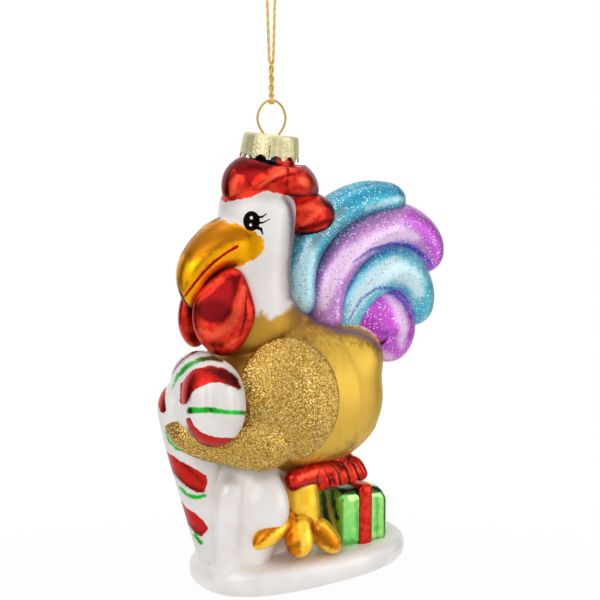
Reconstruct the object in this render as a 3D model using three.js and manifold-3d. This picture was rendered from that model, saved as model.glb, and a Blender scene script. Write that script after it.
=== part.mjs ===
// Blown-glass christmas ornament: a hen that hugs a candy cane on a snow base.
// It hangs by a sheet-metal cap, a wire ring and a cord.
// Millimetres, +Z up. The origin is the inside top of the cord's loop, where the ornament hangs.
// The hen faces -X, its left side is -Y, and the neck's axis is x = y = 0.
import * as THREE from "three";
import { mergeVertices } from "three/addons/utils/BufferGeometryUtils.js";
import { RoundedBoxGeometry } from "three/addons/geometries/RoundedBoxGeometry.js";
import Module from "manifold-3d";

const wasm = await Module();
wasm.setup();

// Glass wall and clearances
const GLASS_WALL = 0.9;
const TAIL_WALL = 0.65;
const CANE_WALL = 1.2;
const ZONE_GAP = 0.3;
const CAP_CLEARANCE = 0.85;
const CAP_SEAT_GAP = 0.3;
const CAP_TIP_ROOM = 1.1;
const WIRE_CLEARANCE = 0.3;
const CORD_CLEARANCE = 0.3;

// Snow base, with heights counted from its underside
const BASE_LENGTH = 69.5;
const BASE_WIDTH = 39.5;
const BASE_HEIGHT = 8.5;
const BASE_EDGE = 3.6;
const BASE_MIDDLE_X = 9.4;

// Body
const BODY_LENGTH = 56.5;
const BODY_WIDTH = 43;
const BODY_HEIGHT = 47;
const BODY_MIDDLE_X = 8;
const BODY_MIDDLE_Z = 55;

// Head and beak
const HEAD_WIDTH = 22;
const HEAD_MIDDLE_X = -5;
const HEAD_MIDDLE_Z = 106;
const BEAK_WIDTH = 17;

// Comb, wattles and wings
const COMB_WIDTH = 19;
const WATTLE_LENGTH = 24.5;
const WATTLE_THICKNESS = 8.6;
const WING_WIDTH = 29;
const WING_LENGTH = 35.5;
const WING_RELIEF = 2.2;
const WING_DEPTH = 28;

// Candy cane
const CANE_DIAMETER = 14.8;

// Foot and gift
const LEG_DIAMETER = 9.2;
const TOE_DIAMETER = 6.4;
const TOE_LENGTH = 14.5;
const FOOT_FORWARD = 6.4;
const FOOT_OUT = 11;
const GIFT_LENGTH = 17.5;
const GIFT_DEPTH = 15;
const GIFT_HEIGHT = 19;
const GIFT_EDGE = 1.6;
const GIFT_SINK = 2;
const GIFT_BACK = 14.2;
const GIFT_OUT = 5.5;
const RIBBON_WIDTH = 4.2;
const RIBBON_STAND = 0.9;

// Glass neck and sheet-metal cap
const NECK_RADIUS = 6.6;
const NECK_RISE = 21.7;
const CAP_SHEET = 0.3;
const CAP_HEIGHT = 7;
const CAP_FLARE = 0.5;
const CAP_BEND = 0.8;
const CAP_SCALLOPS = 12;
const CAP_SCALLOP_RADIUS = 1.55;
const CAP_TILT = 6;

// Wire hanger: a ring over the cap and two legs in the neck
const WIRE_DIAMETER = 0.6;
const RING_WIDTH = 7.9;
const RING_HEIGHT = 9.4;
const HOLE_SPACING = 4.2;
const LEG_LENGTH = 15;
const LEG_SPREAD = 8.4;
const RING_TURN = -33;
// Half of the ring's outline, as shares of its half width and of its height
const RING_OUTLINE = [
  [0.89, 0.24],
  [1, 0.46],
  [0.76, 0.8],
  [0.36, 0.97],
];

// Cord
const CORD_DIAMETER = 0.8;

// Facets: the wall's inner side is coarser than its outer side
const INNER_FACET_SHARE = 0.55;
const WIRE_STEPS = 36;
const CORD_STEPS = 40;

const vec = (x, y, z) => new THREE.Vector3(x, y, z);
// Tables of points and half widths are in hundredths of a named size
const sized = (size, rows) => rows.map((row) => row.map((value) => (value * size) / 100));
const from = (place, size, points) =>
  sized(size, points).map((point) => point.map((value, axis) => value + place[axis]));
const mirrored = (points) => points.map(([x, y, z]) => [x, -y, z]);
const mirroredForm = (form) => ({ ...form, spine: mirrored(form.spine), side: mirrored([form.side])[0] });

// A closed three.js geometry becomes a solid for joining and cutting
function solid(geometry) {
  const bare = geometry.index ? geometry.toNonIndexed() : geometry.clone();
  bare.deleteAttribute("normal");
  bare.deleteAttribute("uv");
  const merged = mergeVertices(bare, 1e-5);
  const vertProperties = new Float32Array(merged.attributes.position.array);
  const triVerts = new Uint32Array(merged.index.array);
  return new wasm.Manifold(new wasm.Mesh({ numProp: 3, vertProperties, triVerts }));
}

function geometryOf(manifold) {
  const mesh = manifold.getMesh();
  const geometry = new THREE.BufferGeometry();
  geometry.setAttribute("position", new THREE.BufferAttribute(mesh.vertProperties, 3));
  geometry.setIndex(new THREE.BufferAttribute(mesh.triVerts, 1));
  return geometry;
}

const join = (solids) => solids.reduce((sum, next) => sum.add(next));

// The largest body of a cut solid: slivers that a cut leaves loose are dropped
function mainBody(manifold) {
  const bodies = manifold.decompose();
  return bodies.reduce((best, next) => (next.volume() > best.volume() ? next : best));
}

// Turns every triangle over
function flipped(geometry) {
  const index = geometry.index.array;
  for (let i = 0; i < index.length; i += 3) {
    [index[i], index[i + 1]] = [index[i + 1], index[i]];
  }
  return geometry;
}

// A soft form: a sphere drawn out along a spine, with two half widths at each spine point.
// side is the direction of the first half width.
// round gives the rounding of each end as a share of the length, and a bent form keeps its rings inside.
function softForm({ spine, half, side, round = [0.5, 0.5], sides = 12, rings = 8, bent }, grow = 0) {
  const path = new THREE.CatmullRomCurve3(spine.map((point) => vec(...point)));
  const widths = new THREE.CatmullRomCurve3(half.map(([across, upright]) => vec(across, upright, 0)));
  const [first, last] = round;
  const facets = grow < 0 ? INNER_FACET_SHARE : 1;
  const bands = bent ? rings : Math.round(rings * facets);
  const geometry = new THREE.SphereGeometry(1, Math.round(sides * facets), bands);
  const position = geometry.attributes.position;
  const point = vec(0, 0, 0);
  for (let i = 0; i < position.count; i += 1) {
    point.fromBufferAttribute(position, i);
    const share = THREE.MathUtils.clamp((1 - point.y) / 2, 0, 1);
    let swell = 1;
    if (share < first) swell = Math.sqrt(Math.max(0, 1 - (1 - share / first) ** 2));
    if (1 - share < last) swell = Math.sqrt(Math.max(0, 1 - (1 - (1 - share) / last) ** 2));
    const step = path.getUtoTmapping(share);
    const along = path.getTangent(step);
    const across = vec(...side).addScaledVector(along, -along.dot(vec(...side))).normalize();
    const upright = vec(0, 0, 0).crossVectors(along, across);
    const width = widths.getPoint(step);
    const ring = Math.hypot(point.x, point.z) || 1;
    const place = path.getPoint(step).addScaledVector(along, -point.y * grow);
    place.addScaledVector(across, ((width.x + grow) * swell * point.x) / ring);
    place.addScaledVector(upright, ((width.y + grow) * swell * point.z) / ring);
    position.setXYZ(i, place.x, place.y, place.z);
  }
  const made = solid(geometry);
  return made.volume() > 0 ? made : solid(flipped(geometry));
}

const softZone = (...forms) => (grow) => join(forms.map((form) => softForm(form, grow)));

// Snow base: an oval slab with rounded edges and a flat underside
function baseZone(grow) {
  const outline = new THREE.Shape();
  outline.absellipse(0, 0, BASE_LENGTH / 2 - BASE_EDGE, BASE_WIDTH / 2 - BASE_EDGE, 0, 2 * Math.PI);
  const edge = BASE_EDGE + grow;
  const slab = new THREE.ExtrudeGeometry(outline, {
    depth: BASE_HEIGHT - 2 * BASE_EDGE,
    curveSegments: 11,
    bevelThickness: edge,
    bevelSize: edge,
    bevelSegments: 2,
  });
  slab.translate(BASE_MIDDLE_X, 0, BASE_EDGE);
  return solid(slab);
}

// Body: a full breast, a straight sloping back and a blunt rump
const bodyPlace = [BODY_MIDDLE_X, 0, BODY_MIDDLE_Z];
const bodyForm = {
  spine: from(bodyPlace, BODY_LENGTH, [
    [-50, 0, -2.1],
    [-20, 0, -1.2],
    [12.5, 0, -2.4],
    [37, 0, -0.6],
    [49, 0, 1.8],
  ]),
  half: sized(1, [
    [46.5 * BODY_WIDTH, 45.7 * BODY_HEIGHT],
    [50 * BODY_WIDTH, 50 * BODY_HEIGHT],
    [50 * BODY_WIDTH, 47.5 * BODY_HEIGHT],
    [42.5 * BODY_WIDTH, 34.5 * BODY_HEIGHT],
    [35.4 * BODY_WIDTH, 28.3 * BODY_HEIGHT],
  ]),
  side: [0, 1, 0],
  round: [0.42, 0.23],
  sides: 20,
  rings: 13,
};

// Head and throat, one upright form that runs down into the body
const headPlace = [HEAD_MIDDLE_X, 0, HEAD_MIDDLE_Z];
const headForm = {
  spine: [
    ...from(bodyPlace, BODY_LENGTH, [
      [-24.8, 0, 19.5],
    ]),
    ...from(headPlace, HEAD_WIDTH, [
      [-9.1, 0, -118.2],
      [-5.5, 0, -63.6],
      [0, 0, 0],
      [9.1, 0, 63.6],
    ]),
  ],
  half: sized(HEAD_WIDTH, [
    [68.2, 72.7],
    [58.2, 60.9],
    [48.2, 48.6],
    [50, 50],
    [43.2, 43.2],
  ]),
  side: [0, 1, 0],
  round: [0.22, 0.22],
  sides: 16,
  rings: 12,
};

// Beak: a hooked upper bill and a thinner lower bill
const upperBeakForm = {
  spine: from(headPlace, HEAD_WIDTH, [
    [-4.5, 0, -22.7],
    [-54.5, 0, -34.1],
    [-90.9, 0, -63.6],
    [-99.1, 0, -111.4],
  ]),
  half: sized(BEAK_WIDTH, [
    [50, 47.1],
    [47.1, 41.2],
    [32.4, 29.4],
    [14.7, 14.7],
  ]),
  side: [0, 1, 0],
  round: [0.25, 0.25],
};

const lowerBeakForm = {
  spine: from(headPlace, HEAD_WIDTH, [
    [-4.5, 0, -59.1],
    [-50, 0, -75],
    [-81.8, 0, -102.3],
  ]),
  half: sized(BEAK_WIDTH, [
    [47.1, 23.5],
    [38.2, 20],
    [20.6, 15.3],
  ]),
  side: [0, 1, 0],
};

// Comb: two lobes round the neck and a flap down the back of the head
const combFrontForm = {
  spine: from(headPlace, HEAD_WIDTH, [
    [-45.5, 0, 25],
    [-9.1, 0, 47.7],
    [45.5, 0, 46.8],
  ]),
  half: sized(COMB_WIDTH, [
    [31.6, 29.5],
    [48.4, 36.8],
    [55.3, 33.7],
  ]),
  side: [0, 1, 0],
  round: [0.5, 0.35],
};

const combBackForm = {
  spine: from(headPlace, HEAD_WIDTH, [
    [-13.6, 0, 36.4],
    [40.9, 0, 43.6],
    [88.6, 0, 25],
  ]),
  half: sized(COMB_WIDTH, [
    [57.9, 26.3],
    [57.4, 34.7],
    [42.1, 26.3],
  ]),
  side: [0, 1, 0],
};

const combFlapForm = {
  spine: from(headPlace, HEAD_WIDTH, [
    [27.3, 0, 9.1],
    [72.7, 0, 0],
    [137, 0, -20.5],
  ]),
  half: sized(COMB_WIDTH, [
    [36.8, 31.6],
    [38.9, 36.8],
    [23.7, 21.1],
  ]),
  side: [0, 1, 0],
};

// Wattles under the beak, one on each side, turned outwards
const ringTurn = THREE.MathUtils.degToRad(RING_TURN);
const OUTWARD = [Math.cos(ringTurn), Math.sin(ringTurn), 0];
const [wattlePlace] = from(headPlace, HEAD_WIDTH, [[-67.3, -29.5, -56.8]]);
const wattleForm = {
  spine: from(wattlePlace, WATTLE_LENGTH, [
    [0, 0, 0],
    [-5.7, -4.1, -50],
    [-2, -6.1, -100],
  ]),
  half: sized(1, [
    [24.5 * WATTLE_LENGTH, 44.2 * WATTLE_THICKNESS],
    [35.1 * WATTLE_LENGTH, 50 * WATTLE_THICKNESS],
    [31.8 * WATTLE_LENGTH, 50 * WATTLE_THICKNESS],
  ]),
  side: OUTWARD,
};

// Wings: a raised oval on the body's side, and on the left an arm that reaches round the candy cane
const wingPlace = [BODY_MIDDLE_X, -BODY_WIDTH / 2, BODY_MIDDLE_Z];
const [ovalPlace] = from(wingPlace, BODY_LENGTH, [[-24.2, 7.1, 2.7]]);
const wingOvalForm = {
  spine: from(ovalPlace, WING_LENGTH, [
    [0, 0, -50],
    [0, 0, 0],
    [0, 0, 50],
  ]),
  half: Array.from({ length: 3 }, () => [WING_WIDTH / 2, WING_DEPTH / 2]),
  side: OUTWARD,
  sides: 16,
};
const wingOval = (form) => (grow) => softForm(bodyForm, WING_RELIEF + grow).intersect(softForm(form, grow));

const wingArmForm = {
  spine: from(wingPlace, BODY_LENGTH, [
    [-14.2, 7.1, -15.9],
    [-35.4, 8, -19.5],
    [-51.3, 17.7, -18.1],
    [-68.1, 30.1, -14.2],
    [-73.5, 44.2, -8],
  ]),
  half: sized(WING_LENGTH, [
    [21.1, 9.6],
    [20.3, 9.6],
    [16.6, 9],
    [15.2, 8.5],
    [14.6, 7.3],
  ]),
  side: [0, 0, 1],
};

// Candy cane: a shaft from the base, a crook over its top and a hook that turns down on the hen's left
const baseTop = [BASE_MIDDLE_X, 0, BASE_HEIGHT];
const caneShaftForm = {
  spine: [
    ...from(baseTop, BODY_LENGTH, [
      [-42.3, 3.5, -8],
      [-52, 4.4, 27.4],
    ]),
    ...from(bodyPlace, BODY_LENGTH, [
      [-59.3, 5.3, -15.9],
      [-62.5, 3.5, 8.8],
    ]),
  ],
  half: Array.from({ length: 4 }, () => [CANE_DIAMETER / 2, CANE_DIAMETER / 2]),
  side: [1, 0, 0],
  round: [0.08, 0.13],
  rings: 12,
};
const caneCrookForm = {
  spine: from(bodyPlace, BODY_LENGTH, [
    [-54.9, 12.4, -1.8],
    [-59.3, -7.1, 12.4],
    [-60.2, -23, 8],
  ]),
  half: sized(CANE_DIAMETER, [
    [50, 57.4],
    [50, 57.4],
    [50, 57.4],
  ]),
  side: [1, 0, 0],
};
const caneHookForm = {
  spine: from(bodyPlace, BODY_LENGTH, [
    [-61.1, -23.5, -16.8],
    [-61.1, -23.2, 5.3],
    [-61.2, -16.8, 25.7],
  ]),
  half: sized(CANE_DIAMETER, [
    [58.8, 55.4],
    [58.8, 55.4],
    [58.8, 55.4],
  ]),
  side: [1, 0, 0],
  round: [0.45, 0.45],
};
const caneWebForm = {
  spine: from(bodyPlace, BODY_LENGTH, [
    [-60.5, -8, -15.9],
    [-60.5, -8.8, 0],
    [-60.5, -8.8, 10.6],
  ]),
  half: sized(CANE_DIAMETER, [
    [40.5, 33.8],
    [47.3, 47.3],
    [45.9, 47.3],
  ]),
  side: [1, 0, 0],
};

// Snow drift: a mound under the body, an apron on its near side, and on that an upright fold and a bulge.
// The feet stand in relief on its flanks.
const driftApronForm = {
  spine: [
    ...from(baseTop, BODY_LENGTH, [
      [-43.2, -3.7, -9.7],
      [-37.2, -7.8, 16.8],
    ]),
    ...from(bodyPlace, BODY_LENGTH, [
      [-34.2, -5.3, -26.5],
    ]),
  ],
  half: sized(BODY_LENGTH, [
    [12.9, 14.2],
    [17.7, 15],
    [19.5, 15],
  ]),
  side: OUTWARD,
  round: [0.13, 0.22],
};
const driftFoldForm = {
  spine: [
    ...from(baseTop, BODY_LENGTH, [
      [-50.3, -11.2, -6.2],
      [-50.3, -12.4, 20.4],
    ]),
    ...from(bodyPlace, BODY_LENGTH, [
      [-46.9, -13.3, -36.3],
    ]),
  ],
  half: sized(BODY_LENGTH, [
    [9.7, 8],
    [8.1, 7.4],
    [7.8, 7.4],
  ]),
  side: [1, 0, 0],
  round: [0.12, 0.18],
};
const driftMoundForm = {
  spine: [
    ...from(baseTop, BODY_LENGTH, [
      [-24.6, 0, -9.7],
      [-24.6, 0, 16.8],
    ]),
    ...from(bodyPlace, BODY_LENGTH, [
      [-22.1, 0, -26.5],
    ]),
  ],
  half: sized(BODY_LENGTH, [
    [31, 14.2],
    [29.2, 15.9],
    [30.1, 21.2],
  ]),
  side: [1, 0, 0],
  round: [0.14, 0.32],
};
const driftBulgeForm = {
  spine: [
    ...from(baseTop, BODY_LENGTH, [
      [-34.3, -15.9, 8],
      [-35.2, -22.1, 29.2],
    ]),
    ...from(bodyPlace, BODY_LENGTH, [
      [-31.9, -12.4, -30.1],
    ]),
  ],
  half: sized(BODY_LENGTH, [
    [8.8, 7.1],
    [12.7, 8.8],
    [11.5, 8.8],
  ]),
  side: OUTWARD,
};

// Tail: four nested plumes, each an arch that rises from the rump and turns down at its end
const tailPlace = [BODY_MIDDLE_X + BODY_LENGTH / 2, 0, BODY_MIDDLE_Z];
const plumes = [
  {
    name: "tail_plume_top",
    color: "#2fb3c9",
    spine: from(tailPlace, BODY_LENGTH, [
      [-48.2, 0, 37.2],
      [-47.3, 0, 65.5],
      [-34.1, 0, 85],
      [-9.3, 0, 96.5],
      [19, 0, 95.6],
    ]),
    half: sized(BODY_LENGTH, [
      [10.6, 8.8],
      [10.6, 8.8],
      [10.6, 9.7],
      [11.5, 9.7],
      [9.7, 8.8],
    ]),
    round: [0.13, 0.13],
  },
  {
    name: "tail_plume_second",
    color: "#b465c0",
    spine: from(tailPlace, BODY_LENGTH, [
      [-34.1, 0, 26.5],
      [-32.3, 0, 54.9],
      [-12.8, 0, 76.1],
      [13.7, 0, 82.3],
      [31.4, 0, 71.7],
      [32.3, 0, 54.9],
    ]),
    half: sized(BODY_LENGTH, [
      [15, 8.8],
      [15, 11.5],
      [15, 12.4],
      [15, 12.7],
      [14.2, 11.5],
      [12.4, 8.8],
    ]),
    round: [0.11, 0.11],
  },
  {
    name: "tail_plume_third",
    color: "#57c8dc",
    spine: from(tailPlace, BODY_LENGTH, [
      [-21.7, 0, 15.9],
      [-17.3, 0, 40.7],
      [-3.1, 0, 57.5],
      [13.7, 0, 58.4],
      [24.3, 0, 44.2],
      [21.7, 0, 26.5],
    ]),
    half: sized(BODY_LENGTH, [
      [17.7, 10.6],
      [17.7, 13.3],
      [17.7, 14.2],
      [16.8, 14.2],
      [15.9, 12.4],
      [14.2, 9.7],
    ]),
    round: [0.14, 0.14],
  },
  {
    name: "tail_plume_low",
    color: "#c63fd6",
    spine: from(tailPlace, BODY_LENGTH, [
      [-23.5, 0, 23],
      [-2.2, 0, 32.7],
      [17.3, 0, 10.6],
    ]),
    half: sized(BODY_LENGTH, [
      [17.7, 15.9],
      [20.4, 20.4],
      [16.8, 15.9],
    ]),
    round: [0.49, 0.43],
  },
];

// Feet: a leg and three toes that spread on the base
const legPlace = [BASE_MIDDLE_X - FOOT_FORWARD, -FOOT_OUT, BASE_HEIGHT];
const toeTips = [
  [-100, 6.9, 19.3],
  [-22.1, -34.5, 2.1],
  [58.6, -41.4, 2.1],
];

function footForms() {
  const leg = {
    spine: [
      ...from(legPlace, TOE_LENGTH, [
        [0, 0, -17.2],
        [0, 0, 79.3],
      ]),
      [legPlace[0], legPlace[1], BODY_MIDDLE_Z - BODY_HEIGHT * 0.4],
    ],
    half: sized(LEG_DIAMETER, [
      [50, 50],
      [50, 50],
      [41, 41],
    ]),
    side: [1, 0, 0],
    round: [0.12, 0.15],
    sides: 10,
    rings: 7,
  };
  const toes = toeTips.map(([x, y, z]) => ({
    spine: from(legPlace, TOE_LENGTH, [
      [0, 0, 44.8],
      [x / 2, y / 2, 27.6],
      [x, y, z],
    ]),
    half: sized(TOE_DIAMETER, [
      [50, 50],
      [50, 56],
      [45, 50],
    ]),
    side: [0, 0, 1],
    round: [0.3, 0.3],
    sides: 8,
    rings: 7,
  }));
  return [leg, ...toes];
}

// Gift: a box on the base, a ribbon over it and a bow on top
const giftSize = [GIFT_LENGTH, GIFT_DEPTH, GIFT_HEIGHT];
const giftTop = BASE_HEIGHT - GIFT_SINK + GIFT_HEIGHT;
const giftMiddle = [BASE_MIDDLE_X + GIFT_BACK, -GIFT_OUT, giftTop - GIFT_HEIGHT / 2];

function giftZone(grow) {
  const size = giftSize.map((length) => length + 2 * grow);
  const box = new RoundedBoxGeometry(...size, 2, GIFT_EDGE + grow);
  box.translate(...giftMiddle);
  return solid(box);
}

function ribbonZone(grow) {
  const [, depth, height] = giftSize.map((length) => length + 2 * (RIBBON_STAND + grow));
  const band = new RoundedBoxGeometry(RIBBON_WIDTH + 2 * grow, depth, height, 2, GIFT_EDGE / 2);
  band.translate(...giftMiddle);
  return solid(band);
}

const bowPlace = [giftMiddle[0], giftMiddle[1] - GIFT_DEPTH / 2, giftTop];
const bowForms = [
  {
    spine: from(bowPlace, GIFT_LENGTH, [
      [-20, 11.4, 25.7],
      [-80, -8.6, 31.4],
      [-157.1, -8.6, 37.1],
    ]),
    half: sized(GIFT_LENGTH, [
      [17.1, 17.1],
      [20.6, 20],
      [19.4, 16],
    ]),
    side: [0, 0, 1],
    round: [0.3, 0.2],
  },
  {
    spine: from(bowPlace, GIFT_LENGTH, [
      [-74.3, 8.6, 28.6],
      [-40, 5.7, 37.1],
      [2.9, 14.3, 34.3],
      [34.3, 28.6, 8.6],
    ]),
    half: sized(GIFT_LENGTH, [
      [22.9, 20],
      [32, 26.3],
      [29.7, 26.3],
      [19.4, 22.9],
    ]),
    side: [0, 0, 1],
  },
];

// Open glass neck: its bore runs out through the top
const neckTop = HEAD_MIDDLE_Z + NECK_RISE;
function neckZone(grow) {
  const top = neckTop + (grow < 0 ? GLASS_WALL : grow);
  const bottom = HEAD_MIDDLE_Z;
  const tube = new THREE.CylinderGeometry(NECK_RADIUS + grow, NECK_RADIUS + grow, top - bottom, 24);
  tube.rotateX(Math.PI / 2);
  tube.translate(0, 0, (top + bottom) / 2);
  return solid(tube);
}

// Room round the cap's tilted skirt, which can tip on the neck: the comb stops under it
function capRoom(grow) {
  const radius = capInner + CAP_SHEET + CAP_FLARE + 2 * ZONE_GAP - grow;
  const room = new THREE.CylinderGeometry(radius, radius, 2 * CAP_HEIGHT, 24);
  room.rotateX(Math.PI / 2);
  room.translate(0, 0, grow - CAP_TIP_ROOM);
  room.rotateY(capTilt);
  room.rotateZ(ringTurn);
  room.translate(0, 0, capTop);
  return solid(room);
}
const underCap = (make) => (grow) => make(grow).subtract(capRoom(grow));

// Finishes
const PAINT = {
  snow: { color: "#ece7e2", roughness: 0.4, metalness: 0 },
  red: { color: "#cf2a20", roughness: 0.25, metalness: 0.7 },
  gold: { color: "#b58a2e", roughness: 0.4, metalness: 0.7 },
  glitter: { color: "#c9a13e", roughness: 0.6, metalness: 0.8 },
  yellow: { color: "#f0a800", roughness: 0.3, metalness: 0.6 },
  green: { color: "#3fbf45", roughness: 0.25, metalness: 0.6 },
  silver: { color: "#3a3634", roughness: 0.2, metalness: 0.8 },
  cap: { color: "#d9d29a", roughness: 0.35, metalness: 0.9 },
  wire: { color: "#d4a92a", roughness: 0.3, metalness: 0.95 },
  cord: { color: "#d4a92a", roughness: 0.5, metalness: 0.6 },
};

// Zones of the glass, in the order in which each cuts the ones after it.
// The hollow ones share one inside, which opens at the neck.
const zones = [
  { name: "glass_neck", make: neckZone, paint: PAINT.silver, hollow: true },
  { name: "hen_body", make: softZone(bodyForm), paint: PAINT.gold, hollow: true },
  { name: "hen_head", make: softZone(headForm), paint: PAINT.snow, hollow: true },
  { name: "snow_base", make: baseZone, paint: PAINT.snow, hollow: true },
  { name: "upper_beak", make: softZone(upperBeakForm), paint: PAINT.yellow, hollow: true },
  { name: "lower_beak", make: softZone(lowerBeakForm), paint: PAINT.yellow },
  { name: "comb_front", make: underCap(softZone(combFrontForm)), paint: PAINT.red, hollow: true },
  { name: "comb_back", make: underCap(softZone(combBackForm)), paint: PAINT.red, hollow: true },
  { name: "comb_flap", make: underCap(softZone(combFlapForm)), paint: PAINT.red, hollow: true },
  { name: "wattle_left", make: softZone(wattleForm), paint: PAINT.red },
  { name: "wattle_right", make: softZone(mirroredForm(wattleForm)), paint: PAINT.red },
  {
    name: "candy_cane",
    make: softZone(caneShaftForm, caneCrookForm, caneHookForm, caneWebForm),
    paint: PAINT.snow,
    hollow: true,
    wall: CANE_WALL,
  },
  {
    name: "wing_left",
    make: (grow) => wingOval(wingOvalForm)(grow).add(softForm(wingArmForm, grow)),
    paint: PAINT.glitter,
  },
  { name: "wing_right", make: wingOval(mirroredForm(wingOvalForm)), paint: PAINT.glitter },
  ...plumes.map(({ name, color, ...form }) => ({
    name,
    make: softZone({ ...form, side: [0, 1, 0], rings: 12, bent: true }),
    paint: { color, roughness: 0.3, metalness: 0.5 },
    hollow: true,
    wall: TAIL_WALL,
  })),
  { name: "gift_box", make: giftZone, paint: PAINT.green, hollow: true },
  { name: "gift_ribbon", make: ribbonZone, paint: PAINT.red },
  { name: "gift_bow", make: softZone(...bowForms), paint: PAINT.red },
  { name: "foot_left", make: softZone(...footForms()), paint: PAINT.yellow },
  { name: "foot_right", make: softZone(...footForms().map(mirroredForm)), paint: PAINT.yellow },
  {
    name: "snow_drift",
    make: softZone(driftApronForm, driftFoldForm, driftMoundForm, driftBulgeForm),
    paint: PAINT.snow,
    hollow: true,
  },
];

function addMesh(group, name, geometry, paint) {
  const mesh = new THREE.Mesh(geometry, new THREE.MeshStandardMaterial(paint));
  mesh.name = name;
  group.add(mesh);
}

function glassFigure() {
  const group = new THREE.Group();
  const hollows = zones.filter((zone) => zone.hollow);
  const inside = join(hollows.map(({ make, wall = GLASS_WALL }) => make(-wall)));
  let taken = null;
  for (const zone of zones) {
    const whole = zone.make(0).subtract(inside);
    const piece = taken ? whole.subtract(taken) : whole;
    addMesh(group, zone.name, geometryOf(mainBody(piece)), zone.paint);
    const claimed = zone.make(ZONE_GAP);
    taken = taken ? taken.add(claimed) : claimed;
  }
  return group;
}

// Cap: a stamped crown cap, tilted on the neck, with two holes for the wire
const capInner = NECK_RADIUS + CAP_CLEARANCE;
const capTilt = THREE.MathUtils.degToRad(CAP_TILT);
const capTop = neckTop + NECK_RADIUS * Math.sin(capTilt) + CAP_SEAT_GAP + CAP_SHEET;

function capGeometry() {
  const inner = capInner;
  const outer = capInner + CAP_SHEET;
  const profile = new THREE.Path();
  profile.moveTo(0, 0);
  profile.lineTo(outer - CAP_BEND, 0);
  profile.quadraticCurveTo(outer, 0, outer, -CAP_BEND);
  profile.lineTo(outer + CAP_FLARE, -CAP_HEIGHT);
  profile.lineTo(inner + CAP_FLARE, -CAP_HEIGHT);
  profile.lineTo(inner, -CAP_BEND);
  profile.quadraticCurveTo(inner, -CAP_SHEET, inner - CAP_BEND, -CAP_SHEET);
  profile.lineTo(0, -CAP_SHEET);
  const lathe = new THREE.LatheGeometry(profile.getPoints(2).reverse(), 3 * CAP_SCALLOPS);
  lathe.rotateX(Math.PI / 2);
  const shell = solid(lathe);
  const cutters = [];
  for (let i = 0; i < CAP_SCALLOPS; i += 1) {
    const cutter = new THREE.CylinderGeometry(CAP_SCALLOP_RADIUS, CAP_SCALLOP_RADIUS, outer, 8);
    cutter.translate(0, outer, 0);
    cutter.rotateZ(((i + 0.5) * 2 * Math.PI) / CAP_SCALLOPS);
    cutter.translate(0, 0, -CAP_HEIGHT);
    cutters.push(solid(cutter));
  }
  for (const end of [-1, 1]) {
    const radius = WIRE_DIAMETER / 2 + WIRE_CLEARANCE;
    const hole = new THREE.CylinderGeometry(radius, radius, 4 * CAP_SHEET, 8);
    hole.rotateX(Math.PI / 2);
    hole.translate((end * HOLE_SPACING) / 2, 0, -CAP_SHEET / 2);
    cutters.push(solid(hole));
  }
  return geometryOf(mainBody(shell.subtract(join(cutters))));
}

// A round section swept along a curve
function sweep(points, diameter, steps) {
  const section = new THREE.Shape().absarc(0, 0, diameter / 2, 0, 2 * Math.PI);
  const path = new THREE.CatmullRomCurve3(points);
  const options = { extrudePath: path, steps, curveSegments: 4, bevelEnabled: false };
  return new THREE.ExtrudeGeometry(section, options);
}

// Wire hanger: from one leg's tip, up through the cap, round the ring and down the other leg
function hangerGeometry() {
  const foot = HOLE_SPACING / 2;
  const right = [
    [LEG_SPREAD / 2, -LEG_LENGTH],
    [(foot + LEG_SPREAD / 2) / 2, -LEG_LENGTH / 2],
    [foot, -2 * WIRE_DIAMETER],
    [foot, WIRE_DIAMETER],
    ...RING_OUTLINE.map(([width, height]) => [(width * RING_WIDTH) / 2, height * RING_HEIGHT]),
  ];
  const points = right.map(([x, z]) => vec(x, 0, z));
  points.push(vec(0, 0, RING_HEIGHT));
  points.push(...right.reverse().map(([x, z]) => vec(-x, 0, z)));
  return sweep(points, WIRE_DIAMETER, WIRE_STEPS);
}

// Cord: one loop whose two strands run down side by side to the hitch on the ring.
// Its points are across the loop and down from the loop's inside top.
const CORD_POINTS = [
  [0.58, -36.4],
  [0.58, -33],
  [0.58, -29],
  [0.7, -24],
  [0.85, -18],
  [1.05, -12],
  [1.5, -7],
  [2.1, -3.2],
  [1.75, -0.6],
];
const CORD_APEX = [0, 0.4];
const cordDrop = -CORD_POINTS[0][1];

function cordGeometry() {
  const points = CORD_POINTS.map(([x, z]) => vec(x, 0, z));
  points.push(vec(CORD_APEX[0], 0, CORD_APEX[1]));
  points.push(...CORD_POINTS.slice().reverse().map(([x, z]) => vec(-x, 0, z)));
  return sweep(points, CORD_DIAMETER, CORD_STEPS);
}

// Hitch: the turn of the cord round the top of the ring
const hitchRadius = (WIRE_DIAMETER + CORD_DIAMETER) / 2 + WIRE_CLEARANCE;
function hitchGeometry() {
  const turn = new THREE.TorusGeometry(hitchRadius, CORD_DIAMETER / 2, 8, 14);
  turn.rotateY(Math.PI / 2);
  return turn;
}

// Assembly, from the loop's top down
const hitchZ = -cordDrop - CORD_CLEARANCE - hitchRadius - CORD_DIAMETER / 2;
const capZ = hitchZ - RING_HEIGHT;

const hung = new THREE.Group();
hung.rotation.z = ringTurn;
addMesh(hung, "cord_loop", cordGeometry(), PAINT.cord);

const hitch = new THREE.Group();
hitch.position.z = hitchZ;
addMesh(hitch, "cord_hitch", hitchGeometry(), PAINT.cord);
hung.add(hitch);

const hanger = new THREE.Group();
hanger.position.z = capZ;
addMesh(hanger, "wire_hanger", hangerGeometry(), PAINT.wire);
hung.add(hanger);

const cap = new THREE.Group();
cap.position.z = capZ;
cap.rotation.y = capTilt;
addMesh(cap, "cap", capGeometry(), PAINT.cap);
hung.add(cap);

const figure = glassFigure();
figure.position.z = capZ - capTop;

const ornament = new THREE.Group();
ornament.add(hung, figure);

export default ornament;
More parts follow.
